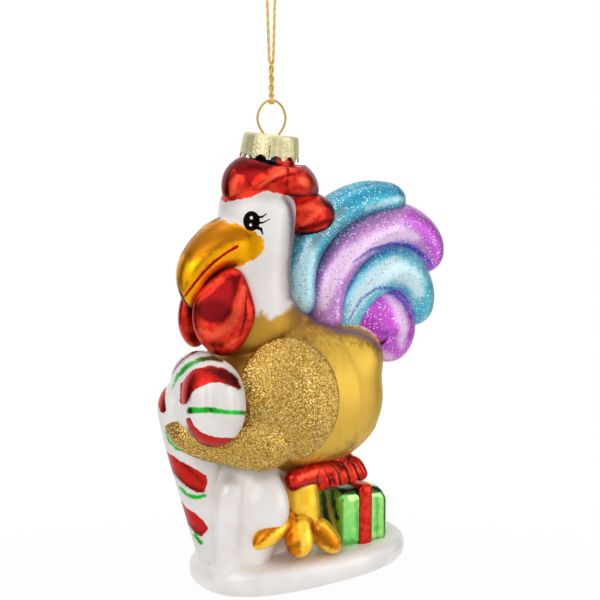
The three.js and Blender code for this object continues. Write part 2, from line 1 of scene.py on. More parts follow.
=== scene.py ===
"""Looks of a blown-glass hen ornament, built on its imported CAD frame.

The hen hugs a striped candy cane on a snow base beside a gift, and hangs by a cap, a wire ring and a cord.
Shapes are worked out in millimetres from the figure's underside and end in metres in the frame's own axes.
"""

import logging
import math
from dataclasses import dataclass
from enum import Enum
from typing import Any, Callable, Sequence

import bmesh
import bpy
import numpy as np
from mathutils import Matrix, Vector


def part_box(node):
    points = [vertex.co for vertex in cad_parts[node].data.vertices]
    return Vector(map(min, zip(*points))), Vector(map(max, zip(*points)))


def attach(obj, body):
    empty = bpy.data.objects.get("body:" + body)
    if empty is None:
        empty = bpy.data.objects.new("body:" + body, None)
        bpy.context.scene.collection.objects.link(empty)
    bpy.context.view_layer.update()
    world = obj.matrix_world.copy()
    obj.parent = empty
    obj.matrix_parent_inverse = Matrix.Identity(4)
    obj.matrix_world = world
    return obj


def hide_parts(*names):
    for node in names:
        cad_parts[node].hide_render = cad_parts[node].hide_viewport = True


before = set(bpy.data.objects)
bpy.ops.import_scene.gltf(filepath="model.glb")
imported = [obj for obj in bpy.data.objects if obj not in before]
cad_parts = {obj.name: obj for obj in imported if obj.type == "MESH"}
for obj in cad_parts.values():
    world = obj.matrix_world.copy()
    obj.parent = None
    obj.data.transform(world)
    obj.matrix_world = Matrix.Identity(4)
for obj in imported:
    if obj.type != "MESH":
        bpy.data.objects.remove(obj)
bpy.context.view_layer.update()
LOG = logging.getLogger("ornament")

MM = 0.001
FIGURE_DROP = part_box("snow_base")[0][2] / MM
RING_TURN = math.radians(-33)
OUTWARD = np.array([math.cos(RING_TURN), math.sin(RING_TURN), 0.0])
AWAY = np.array([-OUTWARD[1], OUTWARD[0], 0.0])
FRONT = (1.0, 0.0, 0.0)
SIDEWAYS = (0.0, 1.0, 0.0)
UP = (0.0, 0.0, 1.0)
# The number on a mesh, in mm, that stands for a place far outside a coat of paint.
NO_PAINT = -5.0

Table = Sequence[Sequence[float]]
Place = tuple[float, float]
Mesh = tuple[np.ndarray, list]


class Body(Enum):
    """The frame's moving bodies."""

    CORD = "cord"
    HITCH = "hitch"
    HANGER = "hanger"
    CAP = "cap"
    FIGURE = "figure"


# Shapes


def curve(points: np.ndarray, steps: np.ndarray) -> np.ndarray:
    """Follows a centripetal Catmull-Rom curve through the points.

    Args:
        points: the points to pass through, one row each.
        steps: where to look, from 0 at the first point to 1 at the last.

    Returns:
        One row for each step.
    """
    ends = np.vstack([2 * points[0] - points[1], points, 2 * points[-1] - points[-2]])
    place = np.clip(steps, 0, 1) * (len(points) - 1)
    span = np.minimum(place.astype(int), len(points) - 2)
    part = (place - span)[:, None]
    a, b, c, d = (ends[span + k] for k in range(4))
    runs = [np.linalg.norm(q - p, axis=1, keepdims=True) ** 0.5 for p, q in ((a, b), (b, c), (c, d))]
    middle = np.where(runs[1] < 1e-4, 1.0, runs[1])
    first, last = (np.where(run < 1e-4, middle, run) for run in (runs[0], runs[2]))
    leave = ((b - a) / first - (c - a) / (first + middle) + (c - b) / middle) * middle
    arrive = ((c - b) / middle - (d - b) / (middle + last) + (d - c) / last) * middle
    bend = -3 * b + 3 * c - 2 * leave - arrive
    return b + leave * part + bend * part**2 + (2 * b - 2 * c + leave + arrive) * part**3


def along_curve(points: np.ndarray, shares: np.ndarray) -> tuple[np.ndarray, np.ndarray, np.ndarray]:
    """Finds places at even shares of a curve's length.

    Args:
        points: the points that the curve passes through.
        shares: shares of its length, from 0 to 1.

    Returns:
        The places, the unit directions there, and the curve's own steps.
    """
    steps = np.linspace(0, 1, 801)
    line = curve(points, steps)
    run = np.r_[0, np.cumsum(np.linalg.norm(np.diff(line, axis=0), axis=1))]
    step = np.interp(shares * run[-1], run, steps)
    ahead = curve(points, np.minimum(step + 1e-3, 1)) - curve(points, np.maximum(step - 1e-3, 0))
    return curve(points, step), ahead / np.linalg.norm(ahead, axis=1, keepdims=True), step


def sized(size: float, rows: Table) -> np.ndarray:
    """Turns a table in hundredths of a size into millimetres."""
    return np.array(rows, float) * size / 100


def start(place: Sequence[float], size: float, rows: Table) -> np.ndarray:
    """Turns points in hundredths of a size, counted from a place, into millimetres."""
    return sized(size, rows) + np.array(place)


def ring_angles(sides: int) -> np.ndarray:
    """Gives even angles all round."""
    return np.arange(sides) * 2 * np.pi / sides


def quads(rows: int, sides: int, first: int = 0, closed: bool = False) -> list:
    """Lists the faces between neighbouring rings of points.

    Args:
        rows: how many rings there are.
        sides: points in each ring.
        first: number of the first ring's first point.
        closed: joins the last ring to the first one too.

    Returns:
        Faces with four corners.
    """
    faces = []
    for row in range(rows if closed else rows - 1):
        low, high = first + row * sides, first + (row + 1) % rows * sides
        for k in range(sides):
            n = (k + 1) % sides
            faces.append((low + k, low + n, high + n, high + k))
    return faces


def closed_skin(first: Sequence[float], rings: Sequence[np.ndarray], last: Sequence[float]) -> Mesh:
    """Joins rings of points to a skin that a point closes at each end.

    Args:
        first: the point before the first ring.
        rings: the rings, all with as many points.
        last: the point after the last ring.

    Returns:
        Points and faces.
    """
    sides = len(rings[0])
    points = np.vstack([[first], *rings, [last]])
    faces = quads(len(rings), sides, 1)
    end = 1 + (len(rings) - 1) * sides
    for k in range(sides):
        n = (k + 1) % sides
        faces += [(0, 1 + n, 1 + k), (len(points) - 1, end + k, end + n)]
    return points, faces


@dataclass(frozen=True)
class SoftForm:
    """A rounded form drawn along a spine, with two half widths at each spine point."""

    spine: np.ndarray
    half: np.ndarray
    side: Sequence[float] = SIDEWAYS
    ends: tuple[float, float] = (0.5, 0.5)

    def mirrored(self) -> "SoftForm":
        """Gives the same form on the hen's other side."""
        flip = np.array([1, -1, 1])
        return SoftForm(self.spine * flip, self.half, np.array(self.side) * flip, self.ends)

    def mesh(self, sides: int = 48, rings: int = 40, grow: float = 0) -> Mesh:
        """Draws the form.

        Args:
            sides: points round the spine.
            rings: steps along it.
            grow: how far the surface stands off, in mm.

        Returns:
            Points and faces.
        """
        sweep = np.linspace(0, np.pi, rings + 1)
        share = (1 - np.cos(sweep)) / 2
        place, along, step = along_curve(self.spine, share)
        width = curve(self.half, step) + grow
        place = place - along * (np.cos(sweep) * grow)[:, None]
        swell = np.ones(rings + 1)
        for end, run in ((share, self.ends[0]), (1 - share, self.ends[1])):
            swell = np.where(end < run, np.sqrt(np.maximum(0, 1 - (1 - end / run) ** 2)), swell)
        across = np.array(self.side) - along * (along @ np.array(self.side))[:, None]
        across /= np.linalg.norm(across, axis=1, keepdims=True)
        upright = np.cross(along, across)
        angle = ring_angles(sides)
        reach = width * swell[:, None]
        ring = across[:, None] * (reach[:, :1] * np.cos(angle))[..., None]
        ring = ring + upright[:, None] * (reach[:, 1:] * np.sin(angle))[..., None]
        return closed_skin(place[0], (place[:, None] + ring)[1:-1], place[-1])


def tube(line: np.ndarray, radius: Callable[[np.ndarray, np.ndarray], np.ndarray], sides: int) -> Mesh:
    """Draws a closed tube along a line.

    Args:
        line: the middle line's points.
        radius: gives the radius from the run along the line and the angle round it.
        sides: points round the tube.

    Returns:
        Points and faces.
    """
    along = np.gradient(line, axis=0)
    along /= np.linalg.norm(along, axis=1, keepdims=True)
    run = np.r_[0, np.cumsum(np.linalg.norm(np.diff(line, axis=0), axis=1))]
    slant = (0.31, 0.87, 0.39)
    across = np.cross(along[0], slant)
    angle = ring_angles(sides)
    rings = []
    for k, place in enumerate(line):
        across = across - along[k] * (across @ along[k])
        across /= np.linalg.norm(across)
        upright = np.cross(along[k], across)
        reach = radius(np.full(sides, run[k]), angle)
        ring = np.outer(reach * np.cos(angle), across) + np.outer(reach * np.sin(angle), upright)
        rings.append(place + ring)
    return closed_skin(line[0], rings, line[-1])


class Piece:
    """A mesh while it is shaped and painted, in millimetres."""

    def __init__(self, name: str, points: np.ndarray, faces: Sequence) -> None:
        """Makes the object.

        Args:
            name: the object's name.
            points: its points, one row each.
            faces: the numbers of each face's points.
        """
        mesh = bpy.data.meshes.new(name)
        mesh.from_pydata(points.tolist(), [], faces)
        self.object = bpy.data.objects.new(name, mesh)
        bpy.context.scene.collection.objects.link(self.object)

    @property
    def mesh(self) -> bpy.types.Mesh:
        """The object's mesh."""
        return self.object.data

    @property
    def points(self) -> np.ndarray:
        """The mesh's points, one row each.

        Returns:
            A copy, so that a change has to be assigned.
        """
        flat = np.empty(len(self.mesh.vertices) * 3)
        self.mesh.vertices.foreach_get("co", flat)
        return flat.reshape(-1, 3)

    @points.setter
    def points(self, places: np.ndarray) -> None:
        """Moves the mesh's points."""
        self.mesh.vertices.foreach_set("co", np.ascontiguousarray(places, np.float32).ravel())
        self.mesh.update()

    @property
    def normals(self) -> np.ndarray:
        """The outward direction at each point.

        Returns:
            Unit directions, one row each.
        """
        flat = np.empty(len(self.mesh.vertices) * 3)
        self.mesh.vertex_normals.foreach_get("vector", flat)
        return flat.reshape(-1, 3)

    def settle(self) -> None:
        """Makes the modifiers' result the mesh."""
        graph = bpy.context.evaluated_depsgraph_get()
        made = bpy.data.meshes.new_from_object(self.object.evaluated_get(graph))
        old = self.mesh
        self.object.modifiers.clear()
        self.object.data = made
        made.name = old.name
        bpy.data.meshes.remove(old)

    def soften(self, rounds: int, chosen: np.ndarray | None = None) -> None:
        """Evens the surface out.

        Args:
            rounds: rounds of softening.
            chosen: marks the points that take part; all do if it isn't given.
        """
        soften = self.object.modifiers.new("soften", "SMOOTH")
        soften.factor = 0.5
        soften.iterations = rounds
        if chosen is not None:
            group = self.object.vertex_groups.new(name="soft")
            group.add(np.flatnonzero(chosen).tolist(), 1.0, "REPLACE")
            soften.vertex_group = group.name
        self.settle()
        self.object.vertex_groups.clear()

    def refine(self, chosen: np.ndarray, cuts: int = 2) -> None:
        """Splits the edges between chosen points.

        Args:
            chosen: marks the points.
            cuts: cuts in each edge.
        """
        work = bmesh.new()
        work.from_mesh(self.mesh)
        work.verts.ensure_lookup_table()
        edges = [edge for edge in work.edges if all(chosen[vert.index] for vert in edge.verts)]
        bmesh.ops.subdivide_edges(work, edges=edges, cuts=cuts, use_grid_fill=True, smooth=1.0)
        work.to_mesh(self.mesh)
        work.free()

    def crease(self, rounds: int = 6) -> np.ndarray:
        """Measures how far each point lies below its surroundings, for the painted shade in creases.

        Args:
            rounds: how many rings of neighbours count.

        Returns:
            Depths in mm.
        """
        points = self.points
        pairs = np.empty(len(self.mesh.edges) * 2, np.int32)
        self.mesh.edges.foreach_get("vertices", pairs)
        a, b = pairs.reshape(-1, 2).T
        ends, others = np.r_[a, b], np.r_[b, a]
        count = np.maximum(np.bincount(ends, minlength=len(points)), 1)
        level = points.copy()
        for _ in range(rounds):
            sums = [np.bincount(ends, level[others, k], len(points)) for k in range(3)]
            level = np.stack([total / count for total in sums], axis=1)
        return ((level - points) * self.normals).sum(axis=1)

    def press(self, rise: np.ndarray) -> None:
        """Moves each point along its outward direction, in mm."""
        self.points = self.points + self.normals * rise[:, None]

    def paint(self, name: str, values: np.ndarray) -> None:
        """Keeps one number at each point for the finish to read."""
        layer = self.mesh.attributes.new(name, "FLOAT", "POINT")
        layer.data.foreach_set("value", np.ascontiguousarray(values, np.float32))

    def place(
        self, finish: "Finish", slot: str, nodes: Sequence[str], body: Body = Body.FIGURE,
        drop: float = FIGURE_DROP,
    ) -> bpy.types.Object:
        """Sets the piece in the frame and dresses it.

        Args:
            finish: what it is painted with.
            slot: the record's material slot; not used.
            nodes: the CAD nodes that it stands for.
            body: the body that it moves with.
            drop: height of its own zero in the frame, in mm.

        Returns:
            The finished object.
        """
        self.points = (self.points + (0, 0, drop)) * MM
        for mask in finish.masks:
            if mask not in self.mesh.attributes:
                self.paint(mask, np.full(len(self.mesh.vertices), NO_PAINT))
        self.mesh.shade_smooth()
        self.mesh.materials.clear()
        self.mesh.materials.append(finish.material())
        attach(self.object, body.value)
        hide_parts(*nodes)
        LOG.info("%s: %d faces, rides on %s", self.object.name, len(self.mesh.polygons), body.value)
        return self.object


def melted(name: str, meshes: Sequence[Mesh], grain: float, rounds: int) -> Piece:
    """Melts overlapping meshes into one skin.

    Args:
        name: the piece's name.
        meshes: points and faces of each.
        grain: size of the skin's facets, in mm.
        rounds: rounds of softening; more of them widen the fillets.

    Returns:
        The piece.
    """
    faces: list = []
    count = 0
    for points, own in meshes:
        faces.extend(tuple(k + count for k in face) for face in own)
        count += len(points)
    piece = Piece(name, np.vstack([points for points, _ in meshes]), faces)
    melt = piece.object.modifiers.new("melt", "REMESH")
    melt.mode = "VOXEL"
    melt.voxel_size = grain
    piece.soften(rounds)
    return piece


# Paint outlines


@dataclass(frozen=True)
class Stencil:
    """A flat sheet, seen from where the camera stands, that lays paint on the hen's near side.

    Its own units count from the sheet's upper left corner; the other sizes are in mm.
    """

    sheet: float = 600.0
    spread: float = 1150.0
    unit: float = 0.284
    dip: float = math.radians(8.2)
    reach: float = 327.0
    aside: float = 8.0
    height: float = 129.0

    @property
    def sight(self) -> tuple[np.ndarray, np.ndarray, np.ndarray]:
        """Where the sheet is seen from.

        Returns:
            The eye's place in mm, the direction of its look and the direction that is up for it.
        """
        up = np.array(UP)
        eye = -AWAY * self.reach + OUTWARD * self.aside + up * self.height
        ahead = AWAY * math.cos(self.dip) - up * math.sin(self.dip)
        rise = AWAY * math.sin(self.dip) + up * math.cos(self.dip)
        return eye, ahead, rise

    def lay(self, points: np.ndarray, both_sides: bool = False) -> np.ndarray:
        """Finds the place on the sheet of each point.

        Args:
            points: points on the figure, in mm.
            both_sides: lays the hen's far side as the mirror image of the near one.

        Returns:
            Sheet places, across and down.
        """
        points = points.copy()
        if both_sides:
            points[:, 1] = -np.abs(points[:, 1])
        eye, ahead, rise = self.sight
        look = points - eye
        far = look @ ahead
        across = self.sheet / 2 + self.spread * (look @ OUTWARD) / far
        down = self.sheet / 2 - self.spread * (look @ rise) / far
        return np.stack([across, down], axis=1)

    def gap(self, places: np.ndarray, a: np.ndarray, b: np.ndarray) -> tuple[np.ndarray, np.ndarray]:
        """Measures how far each place lies from a straight line.

        Args:
            places: sheet places.
            a: the line's first end.
            b: its other end.

        Returns:
            The distances, and the share of the line where each place is nearest to it.
        """
        share = np.clip((places - a) @ (b - a) / ((b - a) @ (b - a)), 0, 1)
        return np.linalg.norm(places - a - share[:, None] * (b - a), axis=1), share

    def stroke(self, places: np.ndarray, points: Table) -> np.ndarray:
        """Measures how far inside a brush stroke each place lies.

        Args:
            places: sheet places.
            points: across, down and half width at each point of the stroke's middle line.

        Returns:
            Millimetres inside the stroke's edge; outside it they are negative.
        """
        rows = np.array(points, float)
        best = np.full(len(places), -1e3)
        for a, b in zip(rows[:-1], rows[1:]):
            gap, share = self.gap(places, a[:2], b[:2])
            best = np.maximum(best, a[2] + (b[2] - a[2]) * share - gap)
        return best * self.unit

    def patch(self, places: np.ndarray, outline: Sequence[Place]) -> np.ndarray:
        """Measures how far inside a closed outline each place lies.

        Args:
            places: sheet places.
            outline: the outline's corners.

        Returns:
            Millimetres inside the outline; outside it they are negative.
        """
        corner = np.array(outline, float)
        gap = np.full(len(places), 1e3)
        inside = np.zeros(len(places), bool)
        for a, b in zip(corner, np.roll(corner, -1, axis=0)):
            gap = np.minimum(gap, self.gap(places, a, b)[0])
            crosses = (a[1] > places[:, 1]) != (b[1] > places[:, 1])
            level = (places[:, 1] - a[1]) / (b[1] - a[1] + 1e-9)
            inside ^= crosses & (places[:, 0] < a[0] + level * (b[0] - a[0]))
        return np.where(inside, gap, -gap) * self.unit

    def oval(self, places: np.ndarray, middle: Place, half: Place) -> np.ndarray:
        """Measures how far inside an oval each place lies, in mm."""
        reach = np.linalg.norm((places - middle) / half, axis=1)
        return (1 - reach) * min(half) * self.unit


STENCIL = Stencil()


def bowl(places: np.ndarray, middle: Place, half: Place) -> np.ndarray:
    """Gives a smooth dip: 1 at the middle of an oval on the sheet, and 0 from its edge on."""
    reach = np.linalg.norm((places - middle) / half, axis=1)
    return np.where(reach < 1, (1 - np.minimum(reach, 1) ** 2) ** 2, 0)


@dataclass(frozen=True)
class Layer:
    """One layer of paint on the stencil's sheet.

    A stroke lists across, down and half width, an outline lists corners, an oval has a middle and half sizes.
    """

    strokes: Sequence[Table] = ()
    outlines: Sequence[Sequence[Place]] = ()
    ovals: Sequence[tuple[Place, Place]] = ()

    def depth(self, places: np.ndarray) -> np.ndarray:
        """Measures how far inside the layer's nearest mark each place lies.

        Args:
            places: sheet places.

        Returns:
            Millimetres inside; outside every mark they are negative.
        """
        marks = [STENCIL.stroke(places, stroke) for stroke in self.strokes]
        marks += [STENCIL.patch(places, outline) for outline in self.outlines]
        marks += [STENCIL.oval(places, *oval) for oval in self.ovals]
        return np.max(marks, axis=0)


Layers = dict[str, Layer]


def brush(piece: Piece, places: np.ndarray, layers: Layers, where: np.ndarray | bool = True) -> None:
    """Paints layers on a piece.

    Args:
        piece: what is painted.
        places: its points on the stencil's sheet.
        layers: the layers, by the names that the finish reads.
        where: which points take paint.
    """
    for name, layer in layers.items():
        piece.paint(name, np.where(where, layer.depth(places), NO_PAINT))


# Finishes


def linear(colour: str) -> tuple[float, float, float, float]:
    """Turns an sRGB hex colour into linear light."""
    parts = [int(colour[k : k + 2], 16) / 255 for k in (1, 3, 5)]
    return (*[c / 12.92 if c <= 0.04045 else ((c + 0.055) / 1.055) ** 2.4 for c in parts], 1.0)


Tree = bpy.types.NodeTree
Socket = bpy.types.NodeSocket


def add(tree: Tree, kind: str, inputs: dict | None = None, **settings: Any) -> bpy.types.Node:
    """Adds a node.

    Args:
        tree: where it goes.
        kind: the node's type.
        inputs: for each input, a value or the output that feeds it.
        settings: the node's own settings.

    Returns:
        The node.
    """
    node = tree.nodes.new(kind)
    for key, value in settings.items():
        setattr(node, key, value)
    for key, value in (inputs or {}).items():
        if isinstance(value, Socket):
            tree.links.new(value, node.inputs[key])
        else:
            node.inputs[key].default_value = value
    return node


def spots(tree: Tree, where: Socket, size: float, detail: float = 2.0) -> Socket:
    """Gives soft noise with spots of a size in mm."""
    inputs = {"Vector": where, "Scale": 1 / (size * MM), "Detail": detail}
    return add(tree, "ShaderNodeTexNoise", inputs).outputs[0]


def cells(tree: Tree, where: Socket, size: float) -> bpy.types.Node:
    """Gives cells of a size in mm, each with its own colour."""
    return add(tree, "ShaderNodeTexVoronoi", {"Vector": where, "Scale": 1 / (size * MM)})


def ramp(tree: Tree, value: Socket, span: Place, to: Place = (0.0, 1.0), kind: str = "LINEAR") -> Socket:
    """Maps a span of numbers to another one."""
    ends = {0: value, 1: span[0], 2: span[1], 3: to[0], 4: to[1]}
    return add(tree, "ShaderNodeMapRange", ends, interpolation_type=kind).outputs[0]


def reckon(tree: Tree, operation: str, *values: Any) -> Socket:
    """Gives the result of one sum."""
    return add(tree, "ShaderNodeMath", dict(enumerate(values)), operation=operation).outputs[0]


def turn(tree: Tree, operation: str, inputs: dict) -> Socket:
    """Gives the result of one sum on directions or places."""
    return add(tree, "ShaderNodeVectorMath", inputs, operation=operation).outputs[0]


def blend(tree: Tree, share: Socket, first: str | Socket, second: str | Socket) -> Socket:
    """Mixes two colours, each a hex colour or the output that gives one."""
    low, high = (linear(colour) if isinstance(colour, str) else colour for colour in (first, second))
    return add(tree, "ShaderNodeMix", {0: share, 6: low, 7: high}, data_type="RGBA").outputs[2]


def painted(tree: Tree, name: str) -> Socket:
    """Reads a number that a mesh keeps at each point."""
    return add(tree, "ShaderNodeAttribute", attribute_name=name).outputs["Fac"]


def own_place(tree: Tree) -> Socket:
    """Gives the place in the object's own axes."""
    return add(tree, "ShaderNodeTexCoord").outputs["Object"]


def surface(tree: Tree, inputs: dict) -> None:
    """Ends a material with one principled surface."""
    skin = add(tree, "ShaderNodeBsdfPrincipled", inputs)
    add(tree, "ShaderNodeOutputMaterial", {0: skin.outputs[0]})


def seen_directly(tree: Tree) -> Socket:
    """Tells what is seen from what only gets light.

    Args:
        tree: where the nodes go.

    Returns:
        1 for what the camera, a mirror or clear glass sees, and 0 otherwise.
    """
    ray = add(tree, "ShaderNodeLightPath").outputs
    first = reckon(tree, "MAXIMUM", ray["Is Camera Ray"], ray["Is Glossy Ray"])
    return reckon(tree, "MAXIMUM", first, ray["Is Transmission Ray"])


class Finish:
    """A material that is made once and shared."""

    name: str

    @property
    def masks(self) -> list[str]:
        """Names of the numbers that the finish reads from the mesh."""
        return []

    def material(self) -> bpy.types.Material:
        """Gives the material, which is made the first time.

        Returns:
            The material.
        """
        made = bpy.data.materials.get(self.name)
        if made is None:
            made = bpy.data.materials.new(self.name)
            made.use_nodes = True
            made.node_tree.nodes.clear()
            self.wire(made.node_tree)
        return made

    def wire(self, tree: Tree) -> None:
        """Adds the finish's nodes."""
        raise NotImplementedError


@dataclass(frozen=True)
class Coat:
    """One more layer of paint, where a number on the mesh is above zero. Lengths are in mm."""

    mask: str
    colour: str
    metallic: float
    roughness: float
    edge: float = 0.25
    brush: float = 0.0
    grain: float = 1.2
    amount: float = 1.0
    stretch: float = 1.0

    def cover(self, tree: Tree, where: Socket) -> Socket:
        """Adds the nodes for the coat's cover, with a soft edge that wanders as a brush does.

        Args:
            tree: where they go.
            where: the place on the surface.

        Returns:
            The cover, from 0 to the coat's amount.
        """
        value = painted(tree, self.mask)
        if self.brush:
            drawn = turn(tree, "MULTIPLY", {0: where, 1: (1, 1, self.stretch)})
            value = reckon(tree, "MULTIPLY_ADD", spots(tree, drawn, self.grain), 2 * self.brush, value)
            value = reckon(tree, "SUBTRACT", value, self.brush)
        return ramp(tree, value, (-self.edge, self.edge), (0.0, self.amount), "SMOOTHSTEP")


@dataclass(frozen=True)
class Flecks:
    """Loose glitter: the flakes' size in mm, the share of places with one, their reach and their tones."""

    size: float = 0.42
    share: float = 0.3
    reach: float = 0.42
    tones: tuple[str, ...] = ("#5A4A68", "#9C98A8", "#D8D8E0", "#FFFFFF", "#F4F4F8")

    def strew(self, tree: Tree, where: Socket, colour: Socket) -> Socket:
        """Adds the nodes that strew flakes, more of them where the mesh has more dust.

        Args:
            tree: where they go.
            where: the place on the surface.
            colour: the colour under the flakes.

        Returns:
            The colour with the flakes on it.
        """
        cell = cells(tree, where, self.size)
        parts = add(tree, "ShaderNodeSeparateColor", {0: cell.outputs["Color"]})
        crowd = reckon(tree, "ADD", parts.outputs[0], painted(tree, "dust"))
        chosen = reckon(tree, "GREATER_THAN", crowd, 1 - self.share)
        near = reckon(tree, "LESS_THAN", cell.outputs["Distance"], self.reach)
        tint = add(tree, "ShaderNodeValToRGB", {0: parts.outputs[1]})
        tint.color_ramp.interpolation = "CONSTANT"
        for k, tone in enumerate(self.tones):
            spot = k / len(self.tones)
            stop = tint.color_ramp.elements[k] if k < 2 else tint.color_ramp.elements.new(spot)
            stop.position, stop.color = spot, linear(tone)
        return blend(tree, reckon(tree, "MULTIPLY", chosen, near), colour, tint.outputs[0])


@dataclass(frozen=True)
class Lacquer(Finish):
    """Lacquer on silvered glass: tinted metal under a clear, slightly uneven skin. Lengths are in mm."""

    name: str
    colour: str
    shade: str
    metallic: float
    roughness: float
    cloud: float = 9.0
    cloud_span: Place = (0.36, 0.66)
    gloss: float = 0.0
    gloss_roughness: float = 0.06
    # Colour of the painted shade in creases, and the depths where it starts and where it is full.
    crease: str | None = None
    crease_start: float = 0.01
    crease_depth: float = 0.12
    ripple: float = 0.03
    ripple_size: float = 2.5
    coats: tuple[Coat, ...] = ()
    flecks: Flecks | None = None

    @property
    def masks(self) -> list[str]:
        """Names of the numbers that the finish reads from the mesh."""
        extra = {"crease": self.crease, "dust": self.flecks}
        return [coat.mask for coat in self.coats] + [name for name, used in extra.items() if used]

    def wire(self, tree: Tree) -> None:
        """Adds the tones, the painted shade in creases, the coats, the flecks and the ripple of the skin.

        Args:
            tree: where the nodes go.
        """
        where = own_place(tree)
        tone = ramp(tree, spots(tree, where, self.cloud, 3.0), self.cloud_span, kind="SMOOTHSTEP")
        colour = blend(tree, tone, self.colour, self.shade)
        # The crease colour darkens the hollows: painted shade.
        if self.crease:
            deep = ramp(tree, painted(tree, "crease"), (self.crease_start, self.crease_depth))
            colour = blend(tree, deep, colour, self.crease)
        metallic: Any = self.metallic
        roughness: Any = self.roughness
        for coat in self.coats:
            cover = coat.cover(tree, where)
            colour = blend(tree, cover, colour, coat.colour)
            metallic = add(tree, "ShaderNodeMix", {0: cover, 2: metallic, 3: coat.metallic}).outputs[0]
            roughness = add(tree, "ShaderNodeMix", {0: cover, 2: roughness, 3: coat.roughness}).outputs[0]
        if self.flecks:
            colour = self.flecks.strew(tree, where, colour)
        swell = spots(tree, where, self.ripple_size)
        bump = add(tree, "ShaderNodeBump", {"Strength": 1.0, "Distance": self.ripple * MM, "Height": swell})
        surface(tree, {
            "Base Color": colour, "Metallic": metallic, "Roughness": roughness, "Normal": bump.outputs[0],
            "Coat Weight": self.gloss, "Coat Roughness": self.gloss_roughness,
        })


@dataclass(frozen=True)
class Glitter(Finish):
    """Cut film glitter in glue: flat flakes that each lean their own way."""

    name: str
    # The dark and the bright flake tones are painted shade and painted highlight, for flakes that turn away
    # from the light and toward it.
    painted_shade: str
    colour: str
    painted_highlight: str
    flake: float
    lean: float
    dull: Place = (0.0, 0.5)
    shiny: Place = (0.72, 1.0)
    metallic: float = 0.75
    roughness: float = 0.32

    def wire(self, tree: Tree) -> None:
        """Gives each flake its own tone and its own lean.

        Args:
            tree: where the nodes go.
        """
        shade = cells(tree, own_place(tree), self.flake).outputs["Color"]
        level = add(tree, "ShaderNodeSeparateColor", {0: shade}).outputs[0]
        tone = blend(tree, ramp(tree, level, self.dull), self.painted_shade, self.colour)
        tone = blend(tree, ramp(tree, level, self.shiny), tone, self.painted_highlight)
        side = turn(tree, "SUBTRACT", {0: shade, 1: (0.5, 0.5, 0.5)})
        side = turn(tree, "SCALE", {0: side, 3: self.lean})
        facing = add(tree, "ShaderNodeNewGeometry").outputs["Normal"]
        leaning = turn(tree, "NORMALIZE", {0: turn(tree, "ADD", {0: facing, 1: side})})
        surface(tree, {
            "Base Color": tone, "Metallic": self.metallic, "Roughness": self.roughness, "Normal": leaning,
        })


@dataclass(frozen=True)
class Plain(Finish):
    """A metal or thread with one colour that varies a little over the surface. Lengths are in mm."""

    name: str
    colour: str
    shade: str
    grain: float
    metallic: float
    roughness: float
    bump: float
    vary: float = 0.25

    def wire(self, tree: Tree) -> None:
        """Adds the tone and the fine relief.

        Args:
            tree: where the nodes go.
        """
        grain = spots(tree, own_place(tree), self.grain, 4.0)
        spread = (self.roughness * (1 - self.vary), self.roughness * (1 + self.vary))
        relief = add(tree, "ShaderNodeBump", {"Distance": self.bump * MM, "Height": grain})
        surface(tree, {
            "Base Color": blend(tree, grain, self.colour, self.shade), "Metallic": self.metallic,
            "Roughness": ramp(tree, grain, (0.0, 1.0), spread), "Normal": relief.outputs[0],
        })


FLOOR_LEVEL = -0.34


@dataclass(frozen=True)
class WhiteSweep(Finish):
    """Matt white paper that reads as white and keeps a faint shadow. Lengths are in metres."""

    name: str = "white_paper_sweep"
    fibre: float = 0.0015
    shadow_span: Place = (0.1, 0.6)
    white_share: Place = (0.88, 1.0)

    def wire(self, tree: Tree) -> None:
        """Mixes matt paper with the white that the camera sees.

        Args:
            tree: where the nodes go.
        """
        fibre = add(tree, "ShaderNodeTexNoise", {"Scale": 1 / self.fibre}).outputs[0]
        paper = add(tree, "ShaderNodeBsdfDiffuse", {0: blend(tree, fibre, "#F4F4F4", "#FAFAFA")})
        white = add(tree, "ShaderNodeEmission", {0: (1, 1, 1, 1), 1: 1.0})
        middle = {0: own_place(tree), 1: (0.0, 0.0, FLOOR_LEVEL)}
        far = add(tree, "ShaderNodeVectorMath", middle, operation="DISTANCE").outputs["Value"]
        cover = ramp(tree, far, self.shadow_span, self.white_share)
        share = reckon(tree, "MULTIPLY", seen_directly(tree), cover)
        mix = add(tree, "ShaderNodeMixShader", {0: share, 1: paper.outputs[0], 2: white.outputs[0]})
        add(tree, "ShaderNodeOutputMaterial", {0: mix.outputs[0]})


@dataclass(frozen=True)
class BlackCard(Finish):
    """Black card, a studio flag."""

    name: str = "black_card"

    def wire(self, tree: Tree) -> None:
        """Adds a near-black matt surface."""
        card = add(tree, "ShaderNodeBsdfDiffuse", {0: linear("#0B0A0C")})
        add(tree, "ShaderNodeOutputMaterial", {0: card.outputs[0]})


